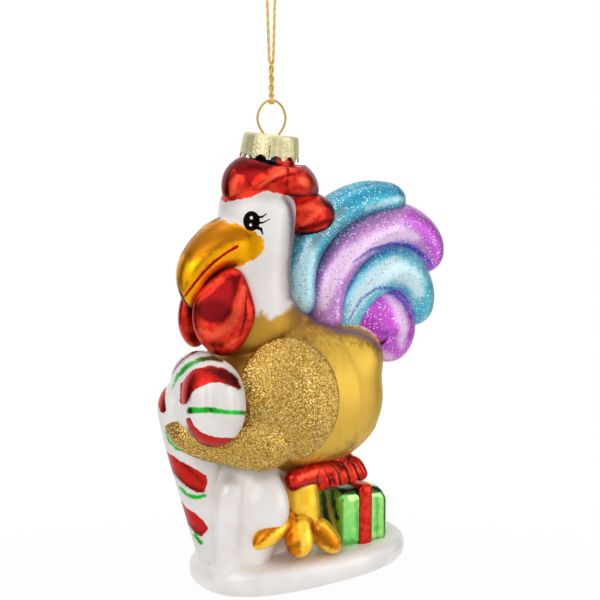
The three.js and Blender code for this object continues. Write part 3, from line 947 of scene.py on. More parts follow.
# Silver nitrate is reduced on the inside of the glass, and lacquer is sprayed or brushed outside.
# White is thick and satin, the colours are clear and mirror-like where they lie thin.
PEARL_HEN = Lacquer(
    "pearl_white_and_gold_lacquer", "#F1EDEA", "#E8E2DE", 0.1, 0.42, cloud=14,
    coats=(
        Coat("shade", "#A3948C", 0.15, 0.42, edge=2.2, brush=0.8, grain=3.0, amount=0.5),
        Coat("gold", "#B88B2C", 0.7, 0.5, edge=1.0, brush=1.0, grain=1.8),
        # Painted highlight on the lower rump, broken into long brush streaks.
        Coat("gold_painted_highlight", "#E4BC4A", 0.7, 0.5, edge=6.0, brush=12.0, grain=1.8, amount=0.85, stretch=0.22),
        # Painted shade, in brush streaks, along the back's edge, under the wing and along the belly.
        Coat("gold_painted_shade", "#7A4E12", 0.7, 0.5, edge=2.0, brush=3.0, grain=1.6, amount=0.7, stretch=0.3),
        Coat("contour", "#705C70", 0.3, 0.5, edge=0.8, brush=0.3, grain=1.5, amount=0.9),
        Coat("seam", "#E58A3A", 0.5, 0.5, edge=0.3, brush=1.4, grain=0.8, amount=0.9),
        Coat("seam_pale", "#F6EEE6", 0.1, 0.5, edge=0.2, brush=2.4, grain=0.7, amount=0.95),
        Coat("comb_edge", "#D63220", 0.95, 0.34, edge=0.2, brush=0.5, grain=1.0),
        Coat("beak", "#F4A908", 0.95, 0.34, edge=0.3, brush=1.2, grain=1.2),
        Coat("beak_dark", "#A9660A", 0.95, 0.34, edge=1.0, brush=1.0, grain=1.4, amount=0.95),
        Coat("mouth", "#A80A12", 0.95, 0.3, edge=0.12, brush=0.12, grain=0.7),
        Coat("outline", "#3A0C08", 0.95, 0.4, edge=0.25, brush=0.25, grain=0.8, amount=0.95),
        Coat("eye", "#120A06", 1.0, 0.4, edge=0.07),
        Coat("glint", "#E8EEF2", 0.0, 0.4, edge=0.1),
    ),
)
# Red lacquer of the comb, wattles, ribbon and bow. The bright coat is painted highlight; the dark and deep
# coats and the crease colour are painted shade in folds, hollows and under the cap; the line coat draws dark
# edge lines, and on the comb the painted shadow under the cap.
RED = Lacquer(
    "clear_red_lacquer", "#DA3522", "#B81B15", 0.95, 0.34, cloud=2.2, crease="#3C0004",
    gloss=0.03, gloss_roughness=0.1,
    coats=(
        Coat("painted_highlight", "#F85A3C", 0.9, 0.34, edge=0.9, brush=1.0, grain=1.2, amount=0.9),
        Coat("painted_shade", "#74060B", 0.95, 0.3, edge=0.5, brush=0.6, grain=1.2, amount=0.96),
        Coat("deep", "#570206", 0.95, 0.3, edge=1.0, brush=0.5, grain=1.4, amount=0.9),
        Coat("line", "#1E0A0B", 0.9, 0.35, edge=0.3, brush=0.2, amount=0.92),
    ),
)
# Yellow lacquer of the feet: the crease colour and the darker coats are painted shade in the folds of the leg
# and toes.
YELLOW = Lacquer(
    "clear_yellow_lacquer", "#FFD544", "#FFC022", 0.7, 0.38, cloud=3, crease="#8A4C00",
    coats=(
        Coat("painted_shade", "#D27A06", 0.9, 0.36, edge=0.6, brush=0.8, grain=1.0, amount=0.95),
        Coat("deep", "#9A5604", 0.9, 0.36, edge=0.8, brush=0.8, grain=1.0, amount=0.85),
    ),
)
# Green lacquer of the gift: the deep and dark coats are painted shade on the left face, under the bow and on
# the top's left part; the streak coat is a painted reflection of the yellow foot.
GREEN = Lacquer(
    "clear_green_lacquer", "#A2E57C", "#7AD76A", 0.9, 0.24, cloud=5, crease="#0E3A06", gloss=0.15,
    coats=(
        Coat("leaf", "#36A83A", 0.9, 0.24, edge=0.8, brush=1.0, grain=1.5, amount=0.85),
        Coat("deep", "#6CAA26", 0.2, 0.3, edge=0.4, brush=0.4, amount=0.95),
        Coat("painted_shade", "#0F2409", 0.7, 0.22, edge=0.4, brush=0.7, grain=1.4, amount=0.92),
        Coat("foot_reflection", "#E8B444", 0.4, 0.3, edge=0.2, brush=0.4, grain=0.9, amount=0.9),
    ),
)
# Pearl white snow; the crease colour is painted shade in the hollows between the melted forms.
SNOW = Lacquer(
    "pearl_white_lacquer", "#F8F4F1", "#EFE9E5", 0.1, 0.4, cloud=12, crease="#D8CDC6", crease_depth=0.3,
    ripple=0.1, ripple_size=1.6, gloss=0.25, gloss_roughness=0.22,
)
STRIPED = Lacquer(
    "pearl_white_with_brushed_stripes", "#F3EFEC", "#E8E2DE", 0.1, 0.4, cloud=12,
    coats=(
        Coat("red", "#C5231A", 0.9, 0.32, edge=0.15, brush=0.35, grain=1.0),
        # Painted shade along the lower edges of the red stripes.
        Coat("red_painted_shade", "#330605", 0.9, 0.3, edge=0.9, brush=0.9, grain=1.4, amount=0.88),
        Coat("green", "#1FB82D", 0.8, 0.3, edge=0.3, brush=0.4, grain=0.9),
        Coat("green_dark", "#12300C", 0.4, 0.3, edge=0.4, brush=0.4, grain=0.9, amount=0.9),
    ),
)
# Glass that the lacquer missed: a silvered mirror, kept near black as painted shade under the cap, with red
# run over the lip.
SILVER = Lacquer(
    "bare_silvered_glass", "#241A17", "#120C0A", 0.9, 0.12, cloud=5, gloss=0.6,
    coats=(Coat("comb_edge", "#C8281A", 0.95, 0.3, edge=0.2, brush=0.6, grain=1.0),),
)
# Metallised film cut into flakes and strewn on wet glue.
GOLD_GLITTER = Glitter("gold_film_glitter", "#7E5A1E", "#C39A3E", "#EED590", flake=0.3, lean=0.6)
# Rolled and stamped sheet, tinted pale gold: soft highlights, darker in the stamped lines.
CAP_SHEET = Lacquer(
    "stamped_pale_gold_sheet", "#E2DAB0", "#D3CA98", 0.6, 0.45, cloud=1.5, ripple=0.01, ripple_size=0.6,
    coats=(Coat("stamping", "#A89B62", 0.7, 0.45, edge=0.12, brush=0.1, grain=0.5, amount=0.7),),
)
# Drawn brass-plated spring wire: smooth, with fine marks along it.
BRASS_WIRE = Plain("drawn_brass_wire", "#D9B04A", "#B88A2A", 0.3, 1.0, 0.25, 0.005)
# Metallised film twisted round a thread: small bright facets.
GOLD_THREAD = Plain("twisted_gold_thread", "#F2CF68", "#C4962F", 0.25, 0.7, 0.4, 0.03)


def plume_finish(name: str, colours: Sequence[str]) -> Lacquer:
    """Makes a tail plume's lacquer: brushed bands of colour, with loose glitter strewn on them.

    Args:
        name: the finish's name.
        colours: the ground, its cloud, the outer band, the pale band, which is a painted highlight, the tip
            and the line at the edge.

    Returns:
        The lacquer.
    """
    ground, cloud, outer, pale, tip, rim = colours
    return Lacquer(
        name, ground, cloud, 0.45, 0.42, cloud=4, flecks=Flecks(),
        coats=(
            Coat("outer", outer, 0.5, 0.42, edge=1.0, brush=0.8, grain=2.6, amount=0.92),
            # The pale band is a painted highlight.
            Coat("pale", pale, 0.25, 0.42, edge=1.1, brush=0.8, grain=2.6, amount=0.95),
            Coat("tip", tip, 0.5, 0.42, edge=1.2, brush=0.8, grain=2.6, amount=0.9),
            Coat("rim", rim, 0.4, 0.42, edge=0.35, brush=0.3, grain=1.2, amount=0.9),
        ),
    )


# Studio


@dataclass
class Studio:
    """Camera, lights, floor and the cards that the glass mirrors. Lengths are in metres."""

    aim: tuple[float, float, float] = (0.0, 0.0, -0.11)
    floor_half: float = 3.0
    sensor: float = 36.0

    def camera(self) -> None:
        """Sets the camera where the photograph was taken from."""
        eye, ahead, rise = STENCIL.sight
        place = Vector(eye) + Vector(UP) * FIGURE_DROP
        data = bpy.data.cameras.new("camera")
        data.sensor_width = self.sensor
        data.lens = STENCIL.spread / STENCIL.sheet * self.sensor
        data.clip_start = 0.01
        made = bpy.data.objects.new("camera", data)
        axes = Matrix((OUTWARD.tolist(), rise.tolist(), (-ahead).tolist())).transposed()
        made.matrix_world = Matrix.Translation(place * MM) @ axes.to_4x4()
        bpy.context.scene.collection.objects.link(made)
        bpy.context.scene.camera = made

    def turned_to_hen(self, made: bpy.types.Object, place: Sequence[float], axis: str) -> None:
        """Stands a thing at a place, with one of its axes toward the hen."""
        aim = Vector(self.aim) - Vector(place)
        made.matrix_world = Matrix.Translation(place) @ aim.to_track_quat(axis, "Y").to_matrix().to_4x4()

    def lamp(self, name: str, place: Sequence[float], size: Place, power: float) -> None:
        """Adds a soft box that faces the hen.

        Args:
            name: the lamp's name.
            place: where it stands.
            size: its width and height.
            power: watts.
        """
        data = bpy.data.lights.new(name, "AREA")
        data.shape = "RECTANGLE"
        data.size, data.size_y = size
        data.energy = power
        made = bpy.data.objects.new(name, data)
        self.turned_to_hen(made, place, "-Z")
        bpy.context.scene.collection.objects.link(made)

    def sheet(self, name: str, half: Place, level: float, finish: Finish) -> bpy.types.Object:
        """Adds a flat sheet to the stage.

        Args:
            name: the sheet's name.
            half: half its width and half its height.
            level: its own height above its zero.
            finish: what it is covered with.

        Returns:
            The sheet.
        """
        wide, high = half
        mesh = bpy.data.meshes.new(name)
        corners = [(-wide, -high, level), (wide, -high, level), (wide, high, level), (-wide, high, level)]
        mesh.from_pydata(corners, [], [(0, 1, 2, 3)])
        mesh.materials.append(finish.material())
        made = bpy.data.objects.new(name, mesh)
        bpy.context.scene.collection.objects.link(made)
        return made

    def card(self, name: str, place: Sequence[float], size: Place) -> None:
        """Adds a black card that only mirror reflections see.

        Args:
            name: the card's name.
            place: where it stands.
            size: its width and height.
        """
        made = self.sheet(name, (size[0] / 2, size[1] / 2), 0, BlackCard())
        self.turned_to_hen(made, place, "Z")
        for ray in ("camera", "diffuse", "transmission", "volume_scatter", "shadow"):
            setattr(made, f"visible_{ray}", False)

    def world(self) -> None:
        """Lights all round softly, with a white background."""
        world = bpy.data.worlds.new("studio")
        world.use_nodes = True
        tree = world.node_tree
        tree.nodes.clear()
        soft = add(tree, "ShaderNodeBackground", {"Color": (1, 1, 1, 1), "Strength": 0.5})
        white = add(tree, "ShaderNodeBackground", {"Color": (1, 1, 1, 1), "Strength": 1.0})
        shaders = {0: seen_directly(tree), 1: soft.outputs[0], 2: white.outputs[0]}
        mix = add(tree, "ShaderNodeMixShader", shaders)
        add(tree, "ShaderNodeOutputWorld", {0: mix.outputs[0]})
        bpy.context.scene.world = world

    def build(self) -> None:
        """Sets up the whole studio."""
        bpy.context.scene.view_settings.view_transform = "Standard"
        self.camera()
        self.world()
        self.sheet("floor", (self.floor_half, self.floor_half), FLOOR_LEVEL, WhiteSweep())
        self.lamp("key", (-0.75, -0.45, 0.35), (0.7, 0.8), 3.2)
        self.lamp("fill", (0.55, -0.65, 0.05), (0.35, 0.7), 1.4)
        self.lamp("top", (0.05, 0.05, 0.65), (0.5, 0.5), 1.2)
        self.card("flag_left", (-0.42, 0.26, -0.08), (0.3, 0.7))
        self.card("flag_right", (0.46, -0.02, -0.08), (0.25, 0.7))
        self.card("flag_front", (-0.42, -0.62, -0.02), (0.36, 0.3))


# Sub-assemblies


@dataclass(frozen=True)
class Figure:
    """Sizes that the parts of the figure share, in mm."""

    body_length: float = 56.5
    body_width: float = 43.0
    body_height: float = 47.0
    head_width: float = 22.0
    body_place: tuple[float, float, float] = (8.0, 0.0, 55.0)
    head_place: tuple[float, float, float] = (-5.0, 0.0, 106.0)
    base_top: tuple[float, float, float] = (9.4, 0.0, 8.5)

    def on_body(self, rows: Table) -> np.ndarray:
        """Counts points from the body's middle, in hundredths of its length."""
        return start(self.body_place, self.body_length, rows)

    def on_flank(self, rows: Table) -> np.ndarray:
        """Counts points from the body's left side, in hundredths of its length."""
        return start((self.body_place[0], -self.body_width / 2, self.body_place[2]), self.body_length, rows)

    def on_head(self, rows: Table) -> np.ndarray:
        """Counts points from the head's middle, in hundredths of its width."""
        return start(self.head_place, self.head_width, rows)

    def on_base(self, rows: Table) -> np.ndarray:
        """Counts points from the base's top, in hundredths of the body's length."""
        return start(self.base_top, self.body_length, rows)

    def from_base(self, rows: Table, body_rows: Table) -> np.ndarray:
        """Joins points counted from the base's top to points counted from the body's middle."""
        return np.vstack([self.on_base(rows), self.on_body(body_rows)])

    @property
    def body_form(self) -> SoftForm:
        """A full breast, a straight sloping back and a blunt rump.

        Returns:
            The form.
        """
        half = [[46.5, 45.7], [50, 50], [50, 47.5], [41.5, 33.5], [34.5, 27.5]]
        half = np.array(half) * (self.body_width, self.body_height) / 100
        spine = self.on_body([[-50, 0, -2.1], [-20, 0, -1.2], [12.5, 0, -2.4], [37, 0, 0.6], [47, 0, 3]])
        return SoftForm(spine, half, ends=(0.42, 0.23))


FIGURE = Figure()
WELL_RADIUS = 6.3
WELL_EDGE = 0.5
WELL_FLOOR = 112.5


def welled(points: np.ndarray) -> np.ndarray:
    """Sinks what lies inside the glass neck, so that the wire's legs hang free."""
    inside = np.clip((WELL_RADIUS - np.hypot(points[:, 0], points[:, 1])) / WELL_EDGE, 0, 1)
    return points - np.outer(inside * np.maximum(points[:, 2] - WELL_FLOOR, 0), UP)


HEN_FACE = [(236, 204), (275, 204), (275, 238), (236, 238)]
HEN_PAINT = {
    "shade": Layer([
        [(232, 203, 1), (250, 200, 2.5), (262, 195, 3.5), (276, 197, 4), (289, 204, 3)],
        [(288, 214, 1.5), (287, 245, 2), (284, 275, 2), (287, 298, 1)],
        [(226, 205, 1.5), (220, 214, 1)],
    ]),
    "gold": Layer(outlines=[[
        (150, 350), (200, 334), (222, 318), (235, 329), (247, 321), (262, 311), (270, 320), (283, 312),
        (297, 303), (330, 296), (430, 296), (430, 520), (150, 520),
    ]]),
    "gold_painted_highlight": Layer(outlines=[[(322, 330), (400, 335), (400, 420), (350, 455), (300, 470), (318, 400)]]),
    "comb_edge": Layer(outlines=[[
        (222, 203), (228, 201.5), (240, 199.5), (252, 197.5), (257, 194.5), (262, 191.5), (268, 191),
        (276, 193), (287, 196), (291, 184), (222, 184),
    ]]),
    "eye": Layer(
        [
            [(257, 217, 1.6), (262, 217, 1), (266.5, 213.8, 0.5)],
            [(257, 223, 1.6), (263, 222.6, 0.8), (270, 219, 0.4)],
            [(257, 227.5, 2), (261, 229, 1.5), (262.8, 234.5, 0.6)],
        ],
        ovals=[((251.5, 221), (8.4, 10))],
    ),
    "glint": Layer(ovals=[((251.4, 217.8), (1.5, 1.6)), ((250.6, 225), (1.4, 1.4))]),
}
HEN_BEAK_PAINT = {
    "beak": Layer(outlines=[[
        (218, 218), (226, 222), (240, 225), (254, 231), (262, 238), (264, 248), (258, 258), (247, 263),
        (226, 273), (206, 290), (190, 309), (176, 318), (160, 290), (160, 255), (185, 228), (205, 212),
    ]]),
    "beak_dark": Layer(
        [
            [(243, 262, 2), (224, 270, 3.5), (210, 281, 3), (199, 294, 1.5)],
            [(213, 261, 0.8), (206, 268, 1.2), (199, 277, 0.6)],
            [(187, 283, 1.2), (183, 291, 1.2)],
        ],
        [[(219, 220), (243, 227), (254, 236), (244, 241), (226, 245), (214, 251), (202, 258), (188, 262),
          (184, 252), (194, 237)]],
    ),
    "mouth": Layer([[
        (237, 246.5, 1.8), (226, 253, 1.2), (214, 262, 1.6), (203, 273, 1.6), (194, 284, 1.5),
        (185, 296, 1.2),
    ]]),
    "outline": Layer([[
        (220, 217.5, 0.8), (205.5, 224.5, 1.3), (190, 240, 1.6), (180, 257, 1.8), (177, 268, 1.8),
        (176.5, 280, 1.8), (178.5, 290, 1.7), (184, 301, 1.6), (191, 310, 1.5),
    ]]),
}
HEN_CONTOUR = Layer([[
    (284, 197, 2), (289.5, 206, 2.6), (292.5, 218, 3), (292, 245, 2.8), (289.5, 269, 2.8), (291, 297, 2.8),
    (302, 311, 2.8), (320, 322, 2.6), (338, 330, 2.4), (357, 333, 2.4), (370, 339, 2.2), (380, 350, 1.5),
]])
HEN_SEAM = Layer([[(318, 316, 1), (334, 323, 2), (357, 325, 2.4), (371, 331, 2.6), (381, 342, 2)]])
# Painted shade along the back's edge.
HEN_BACK_SHADE = Layer([[(297, 309, 2), (314, 321, 5), (345, 332, 6), (378, 346, 5), (384, 358, 2)]])
HEN_WING_SHADOW = Layer([
    [(256, 360, 2), (266, 349, 5), (282, 338, 5), (298, 336, 3), (312, 342, 1)],
    [(262, 476, 5), (300, 478, 7), (332, 464, 6), (352, 446, 1)],
])


@dataclass
class Hen:
    """Head, body and beak: one blown skin with a painted face and collar."""

    beak_width: float = 17.0
    grain: float = 0.45
    fillet_rounds: int = 22
    rump_rounds: int = 300
    rump_start: float = 16.0
    rump_low: float = 44.0
    rump_high: float = 78.0
    beak_paint_reach: float = 4.0
    back_paint_turn: float = 0.12
    pale_fleck_inset: float = 0.5

    def forms(self) -> list[SoftForm]:
        """Gives the forms that melt together.

        Returns:
            Body, shoulder, neck, nape, and the beak's two halves.
        """
        neck = np.vstack([
            FIGURE.on_body([[-24.8, 0, 19.5]]),
            FIGURE.on_head([[-9.1, 0, -118.2], [-5.5, 0, -63.6], [0, 0, 0], [9.1, 0, 63.6]]),
        ])
        neck_half = [[68.2, 72.7], [58.2, 60.9], [48.2, 48.6], [50, 50], [43.2, 43.2]]
        upper = FIGURE.on_head([[-4.5, 0, -22.7], [-54.5, 0, -34.1], [-90.9, 0, -63.6], [-99.1, 0, -111.4]])
        upper_half = sized(self.beak_width, [[50, 47.1], [47.1, 41.2], [32.4, 29.4], [14.7, 14.7]])
        lower = FIGURE.on_head([[-4.5, 0, -59.1], [-50, 0, -75], [-81.8, 0, -102.3]])
        lower_half = sized(self.beak_width, [[47.1, 23.5], [38.2, 20], [20.6, 15.3]])
        nape = FIGURE.on_body([[-18, 0, 60], [-7, 0, 43.5], [1, 0, 35.7], [16, 0, 27]])
        nape_half = sized(FIGURE.body_length, [[9, 6], [9, 6], [11, 6], [12, 6]])
        shoulder = FIGURE.on_body([[10, -25, 14], [25, -13, 15.5], [28, 0, 16], [25, 13, 15.5], [10, 25, 14]])
        shoulder_half = sized(FIGURE.body_length, [[k, k] for k in (16, 18.5, 19, 18.5, 16)])
        return [
            FIGURE.body_form,
            SoftForm(shoulder, shoulder_half, UP, (0.2, 0.2)),
            SoftForm(neck, sized(FIGURE.head_width, neck_half), ends=(0.22, 0.22)),
            SoftForm(nape, nape_half),
            SoftForm(upper, upper_half, ends=(0.25, 0.25)),
            SoftForm(lower, lower_half),
        ]

    def build(self) -> None:
        """Melts the forms, refines the face and paints the skin."""
        meshes = [form.mesh() for form in self.forms()]
        piece = melted("hen_skin", meshes, self.grain, self.fillet_rounds)
        x, _, z = piece.points.T
        piece.soften(self.rump_rounds, (x > self.rump_start) & (z > self.rump_low) & (z < self.rump_high))
        piece.points = welled(piece.points)
        piece.refine(STENCIL.patch(STENCIL.lay(piece.points, both_sides=True), HEN_FACE) > 0)
        self.paint(piece)
        piece.place(PEARL_HEN, "gold_lacquer", ["hen_body", "hen_head", "upper_beak", "lower_beak"])

    def paint(self, piece: Piece) -> None:
        """Lays the collar, the beak, the face and the back's edge on the skin.

        Args:
            piece: the skin.
        """
        places = STENCIL.lay(piece.points, both_sides=True)
        brush(piece, places, HEN_PAINT)
        front = piece.points[:, 0] < FIGURE.head_place[0] + self.beak_paint_reach
        brush(piece, places, HEN_BEAK_PAINT, front)
        normals = piece.normals
        turned = -OUTWARD[0] * np.abs(normals[:, 1]) - OUTWARD[1] * normals[:, 0]
        facing = turned < self.back_paint_turn
        brush(piece, places, {"contour": HEN_CONTOUR, "seam": HEN_SEAM}, facing)
        pale = HEN_SEAM.depth(places) - self.pale_fleck_inset
        piece.paint("seam_pale", np.where(facing, pale, NO_PAINT))
        # Painted shade along the back's edge and under the wing.
        band = np.where(facing, HEN_BACK_SHADE.depth(places), NO_PAINT)
        piece.paint("gold_painted_shade", np.maximum(band, HEN_WING_SHADOW.depth(places)))


COMB_RIDGE = [(256, 187, 0), (286, 166, 0)]
COMB_HOLLOW = ((250, 170), (16, 18))
# The bright strokes are painted highlights; the dark wedge, the dark strokes and the lines under the lobes
# are painted shade in folds and creases; the deep stroke and the patch at the top are painted shadow under
# the cap.
COMB_PAINT = {
    "painted_shade": Layer(
        [
            [(264, 186, 0.8), (277, 179, 1.8), (293, 174, 1.4), (304, 171, 0.6)],
            [(226, 196, 2), (224.5, 183, 2), (228, 170, 2), (237, 159, 2)],
            [(301, 165, 1.5), (312, 172, 2), (317, 182, 1)],
            [(300, 229, 2), (314, 226, 3), (330, 220, 2)],
            [(287, 174, 0.6), (287.5, 194, 0.6)],
        ],
        [[(233, 164), (245, 154), (258, 160), (275, 163), (266, 171), (256, 175), (250, 186), (245, 181),
          (242, 175), (237, 174)]],
    ),
    "deep": Layer([[(240, 160, 2), (252, 165, 3.5), (270, 166, 2.5)]]),
    "line": Layer(
        [
            [(229, 198, 0.9), (227, 182, 0.9), (230, 171, 0.9), (237, 162, 0.9)],
            [(282, 194, 1.2), (300, 196, 1.2), (320, 195, 1.2)],
            [(302, 234, 2.4), (314, 234, 2.4), (328, 229, 2.4), (337, 218, 2.4)],
            [(322, 199, 2), (331, 207, 2), (339, 217, 2)],
            [(303, 164, 0.9), (313, 172, 0.9), (320, 186, 0.9), (319, 195, 0.9)],
        ],
        [[(241, 150), (244, 156), (254, 159), (262, 163.5), (280, 163), (284, 157), (284, 150)]],
    ),
    "painted_highlight": Layer([
        [(259, 187, 1.5), (273, 175, 3.5), (289, 166, 3.5), (297, 159, 2)],
        [(233, 195, 3), (233, 182, 4), (237, 176, 1)],
        [(240, 196, 3), (250, 193, 2)],
        [(300, 179, 3), (308, 183, 4.5), (314, 188, 2.5)],
        [(300, 205, 3), (312, 206, 4), (321, 209, 2)],
        [(303, 226, 1.5), (313, 216, 2.5), (323, 208, 1.5)],
    ]),
}


@dataclass
class Comb:
    """Two red lobes round the neck and a flap down the back of the head."""

    width: float = 19.0
    cap_room: float = 120.9
    cap_slope: float = 0.105
    room_radius: float = 8.85
    room_edge: float = 0.7
    tuck_softness: float = 0.4
    relief: float = 0.5
    ridge_width: float = 1.3
    sides: int = 120
    rings: int = 100

    def tucked(self, points: np.ndarray) -> np.ndarray:
        """Keeps a lobe's top below the cap's tilted skirt.

        Args:
            points: the lobe's points.

        Returns:
            The same points, lowered where the cap needs room.
        """
        limit = self.cap_room - self.cap_slope * (points @ OUTWARD)
        over = self.tuck_softness * np.logaddexp(0, (points[:, 2] - limit) / self.tuck_softness)
        beyond = self.room_radius + self.room_edge - np.hypot(points[:, 0], points[:, 1])
        return points - np.outer(over * np.clip(beyond / self.room_edge, 0, 1), UP)

    def lobe(self, name: str, form: SoftForm) -> None:
        """Builds one lobe.

        Args:
            name: the node that it stands for.
            form: its shape.
        """
        piece = Piece(name, *form.mesh(self.sides, self.rings))
        places = STENCIL.lay(piece.points, both_sides=True)
        ridge = np.exp(-((STENCIL.stroke(places, COMB_RIDGE) / self.ridge_width) ** 2))
        piece.press(self.relief * ridge - self.relief * bowl(places, *COMB_HOLLOW))
        piece.points = welled(self.tucked(piece.points))
        piece.paint("crease", piece.crease())
        brush(piece, places, COMB_PAINT)
        piece.place(RED, "red_lacquer", [name])

    def build(self) -> None:
        """Builds the three lobes."""
        front = FIGURE.on_head([[-45.5, 0, 25], [-9.1, 0, 47.7], [45.5, 0, 46.8]])
        front_half = sized(self.width, [[31.6, 29.5], [48.4, 36.8], [55.3, 33.7]])
        back = FIGURE.on_head([[-13.6, 0, 36.4], [40.9, 0, 43.6], [88.6, 0, 25]])
        back_half = sized(self.width, [[57.9, 26.3], [57.4, 34.7], [42.1, 26.3]])
        flap = FIGURE.on_head([[27.3, 0, 9.1], [72.7, 0, 0], [141, 0, -16]])
        flap_half = sized(self.width, [[36.8, 31.6], [40, 36.8], [17, 18]])
        self.lobe("comb_front", SoftForm(front, front_half, ends=(0.5, 0.35)))
        self.lobe("comb_back", SoftForm(back, back_half))
        self.lobe("comb_flap", SoftForm(flap, flap_half))


WATTLE_HOLLOW = ((214, 303), (32, 38))
# The dark teardrop and the deep oval are painted shade in each wattle's hollow; the bright strokes are
# painted highlights.
WATTLE_PAINT = {
    "painted_shade": Layer(outlines=[[
        (241, 274), (239, 285), (234, 299), (231, 313), (223, 322), (211, 324), (201, 318), (194, 309),
        (202, 299), (214, 289), (227, 277),
    ]]),
    "deep": Layer(ovals=[((213, 311), (18, 12))]),
    "line": Layer([
        [(246.5, 293, 0.6), (245.5, 317, 1.4), (240, 336, 0.6)],
        [(189, 312, 0.8), (189, 326, 1), (198, 346, 0.6)],
    ]),
    "painted_highlight": Layer([
        [(199, 330, 2), (212, 336, 4), (228, 328, 4), (238, 310, 4), (243, 288, 2)],
        [(194, 300, 1.2), (204, 288, 1.6), (220, 277, 1.2)],
        [(206, 348, 1), (222, 350, 2), (236, 340, 1)],
    ]),
}


@dataclass
class Wattles:
    """Two hanging red wattles with a hollow in each."""

    length: float = 24.5
    thickness: float = 8.6
    hollow: float = 1.0
    root: tuple[float, float, float] = (-67.3, -29.5, -56.8)
    sides: int = 96
    rings: int = 80

    def build(self) -> None:
        """Builds the near wattle and its mirror image."""
        place = FIGURE.on_head([self.root])[0]
        spine = start(place, self.length, [[15, -3, -3], [-1, -4.1, -48], [-4, -6.1, -100]])
        half = np.array([[24, 44.2], [35.5, 50], [33, 50]]) * (self.length, self.thickness) / 100
        near = SoftForm(spine, half, OUTWARD)
        for name, form in (("wattle_left", near), ("wattle_right", near.mirrored())):
            piece = Piece(name, *form.mesh(self.sides, self.rings))
            places = STENCIL.lay(piece.points, both_sides=True)
            piece.press(-self.hollow * bowl(places, *WATTLE_HOLLOW))
            piece.paint("crease", piece.crease())
            brush(piece, places, WATTLE_PAINT)
            piece.place(RED, "red_lacquer", [name])


@dataclass
class Wings:
    """A glittered oval on each flank; the left one has an arm round the candy cane."""

    width: float = 29.0
    length: float = 35.5
    depth: float = 28.0
    relief: float = 2.2
    grain: float = 0.4
    fillet_rounds: int = 14

    def oval(self, mirror: bool) -> Mesh:
        """Cuts the raised oval out of the thickened body.

        Args:
            mirror: makes the one on the hen's right.

        Returns:
            Points and faces.
        """
        place = FIGURE.on_flank([[-24.2, 7.1, 2.7]])[0]
        spine = start(place, self.length, [[0, 0, -50], [0, 0, 0], [0, 0, 50]])
        form = SoftForm(spine, np.full((3, 2), (self.width / 2, self.depth / 2)), OUTWARD)
        flank = Piece("flank", *FIGURE.body_form.mesh(grow=self.relief))
        cutter = Piece("cutter", *(form.mirrored() if mirror else form).mesh())
        cut = flank.object.modifiers.new("cut", "BOOLEAN")
        cut.operation = "INTERSECT"
        cut.object = cutter.object
        flank.settle()
        shape = flank.points, [tuple(face.vertices) for face in flank.mesh.polygons]
        for mesh in (flank.mesh, cutter.mesh):
            bpy.data.meshes.remove(mesh)
        return shape

    def arm(self) -> Mesh:
        """Draws the arm that reaches round the candy cane.

        Returns:
            Points and faces.
        """
        spine = FIGURE.on_flank([
            [-14.2, 7.1, -15.9], [-35.4, 8, -19.5], [-51.3, 17.7, -18.1], [-68.1, 30.1, -14.2],
            [-73.5, 44.2, -8],
        ])
        half = [[21.1, 9.6], [20.3, 9.6], [16.6, 9], [15.2, 8.5], [14.6, 7.3]]
        return SoftForm(spine, sized(self.length, half), UP).mesh()

    def build(self) -> None:
        """Builds both wings."""
        for name, parts in (("wing_left", [self.oval(False), self.arm()]), ("wing_right", [self.oval(True)])):
            piece = melted(name, parts, self.grain, self.fillet_rounds)
            piece.place(GOLD_GLITTER, "gold_glitter", [name])


# Middle and half sizes of each place with thick glue on the tail, and how thick it is there.
GLUE_SPOTS = (((338, 214), (34, 40), 1.0), ((302, 262), (24, 60), 0.7))


@dataclass(frozen=True)
class Plume:
    """One tail plume: spine and half widths in hundredths of the body's length, and layers of paint."""

    name: str
    slot: str
    finish: Lacquer
    spine: Table
    half: Table
    ends: tuple[float, float]
    layers: Layers
    sides: int = 96
    rings: int = 120
    dust: float = 0.2
    edge_glue: float = 0.6

    def build(self) -> None:
        """Builds the plume, brushes its bands and strews glitter where the glue is thick."""
        rump = (FIGURE.body_place[0] + FIGURE.body_length / 2, 0, FIGURE.body_place[2])
        spine = start(rump, FIGURE.body_length, self.spine)
        form = SoftForm(spine, sized(FIGURE.body_length, self.half), ends=self.ends)
        points, faces = form.mesh(self.sides, self.rings)
        piece = Piece(self.name, points, faces)
        places = STENCIL.lay(points, both_sides=True)
        brush(piece, places, self.layers)
        glue = sum(share * bowl(places, middle, half) for middle, half, share in GLUE_SPOTS)
        sine = np.r_[0, np.tile(np.sin(ring_angles(self.sides)), self.rings - 1), 0]
        piece.paint("dust", self.dust * np.minimum(glue + self.edge_glue * np.abs(sine) ** 6, 1))
        piece.place(self.finish, self.slot, [self.name])


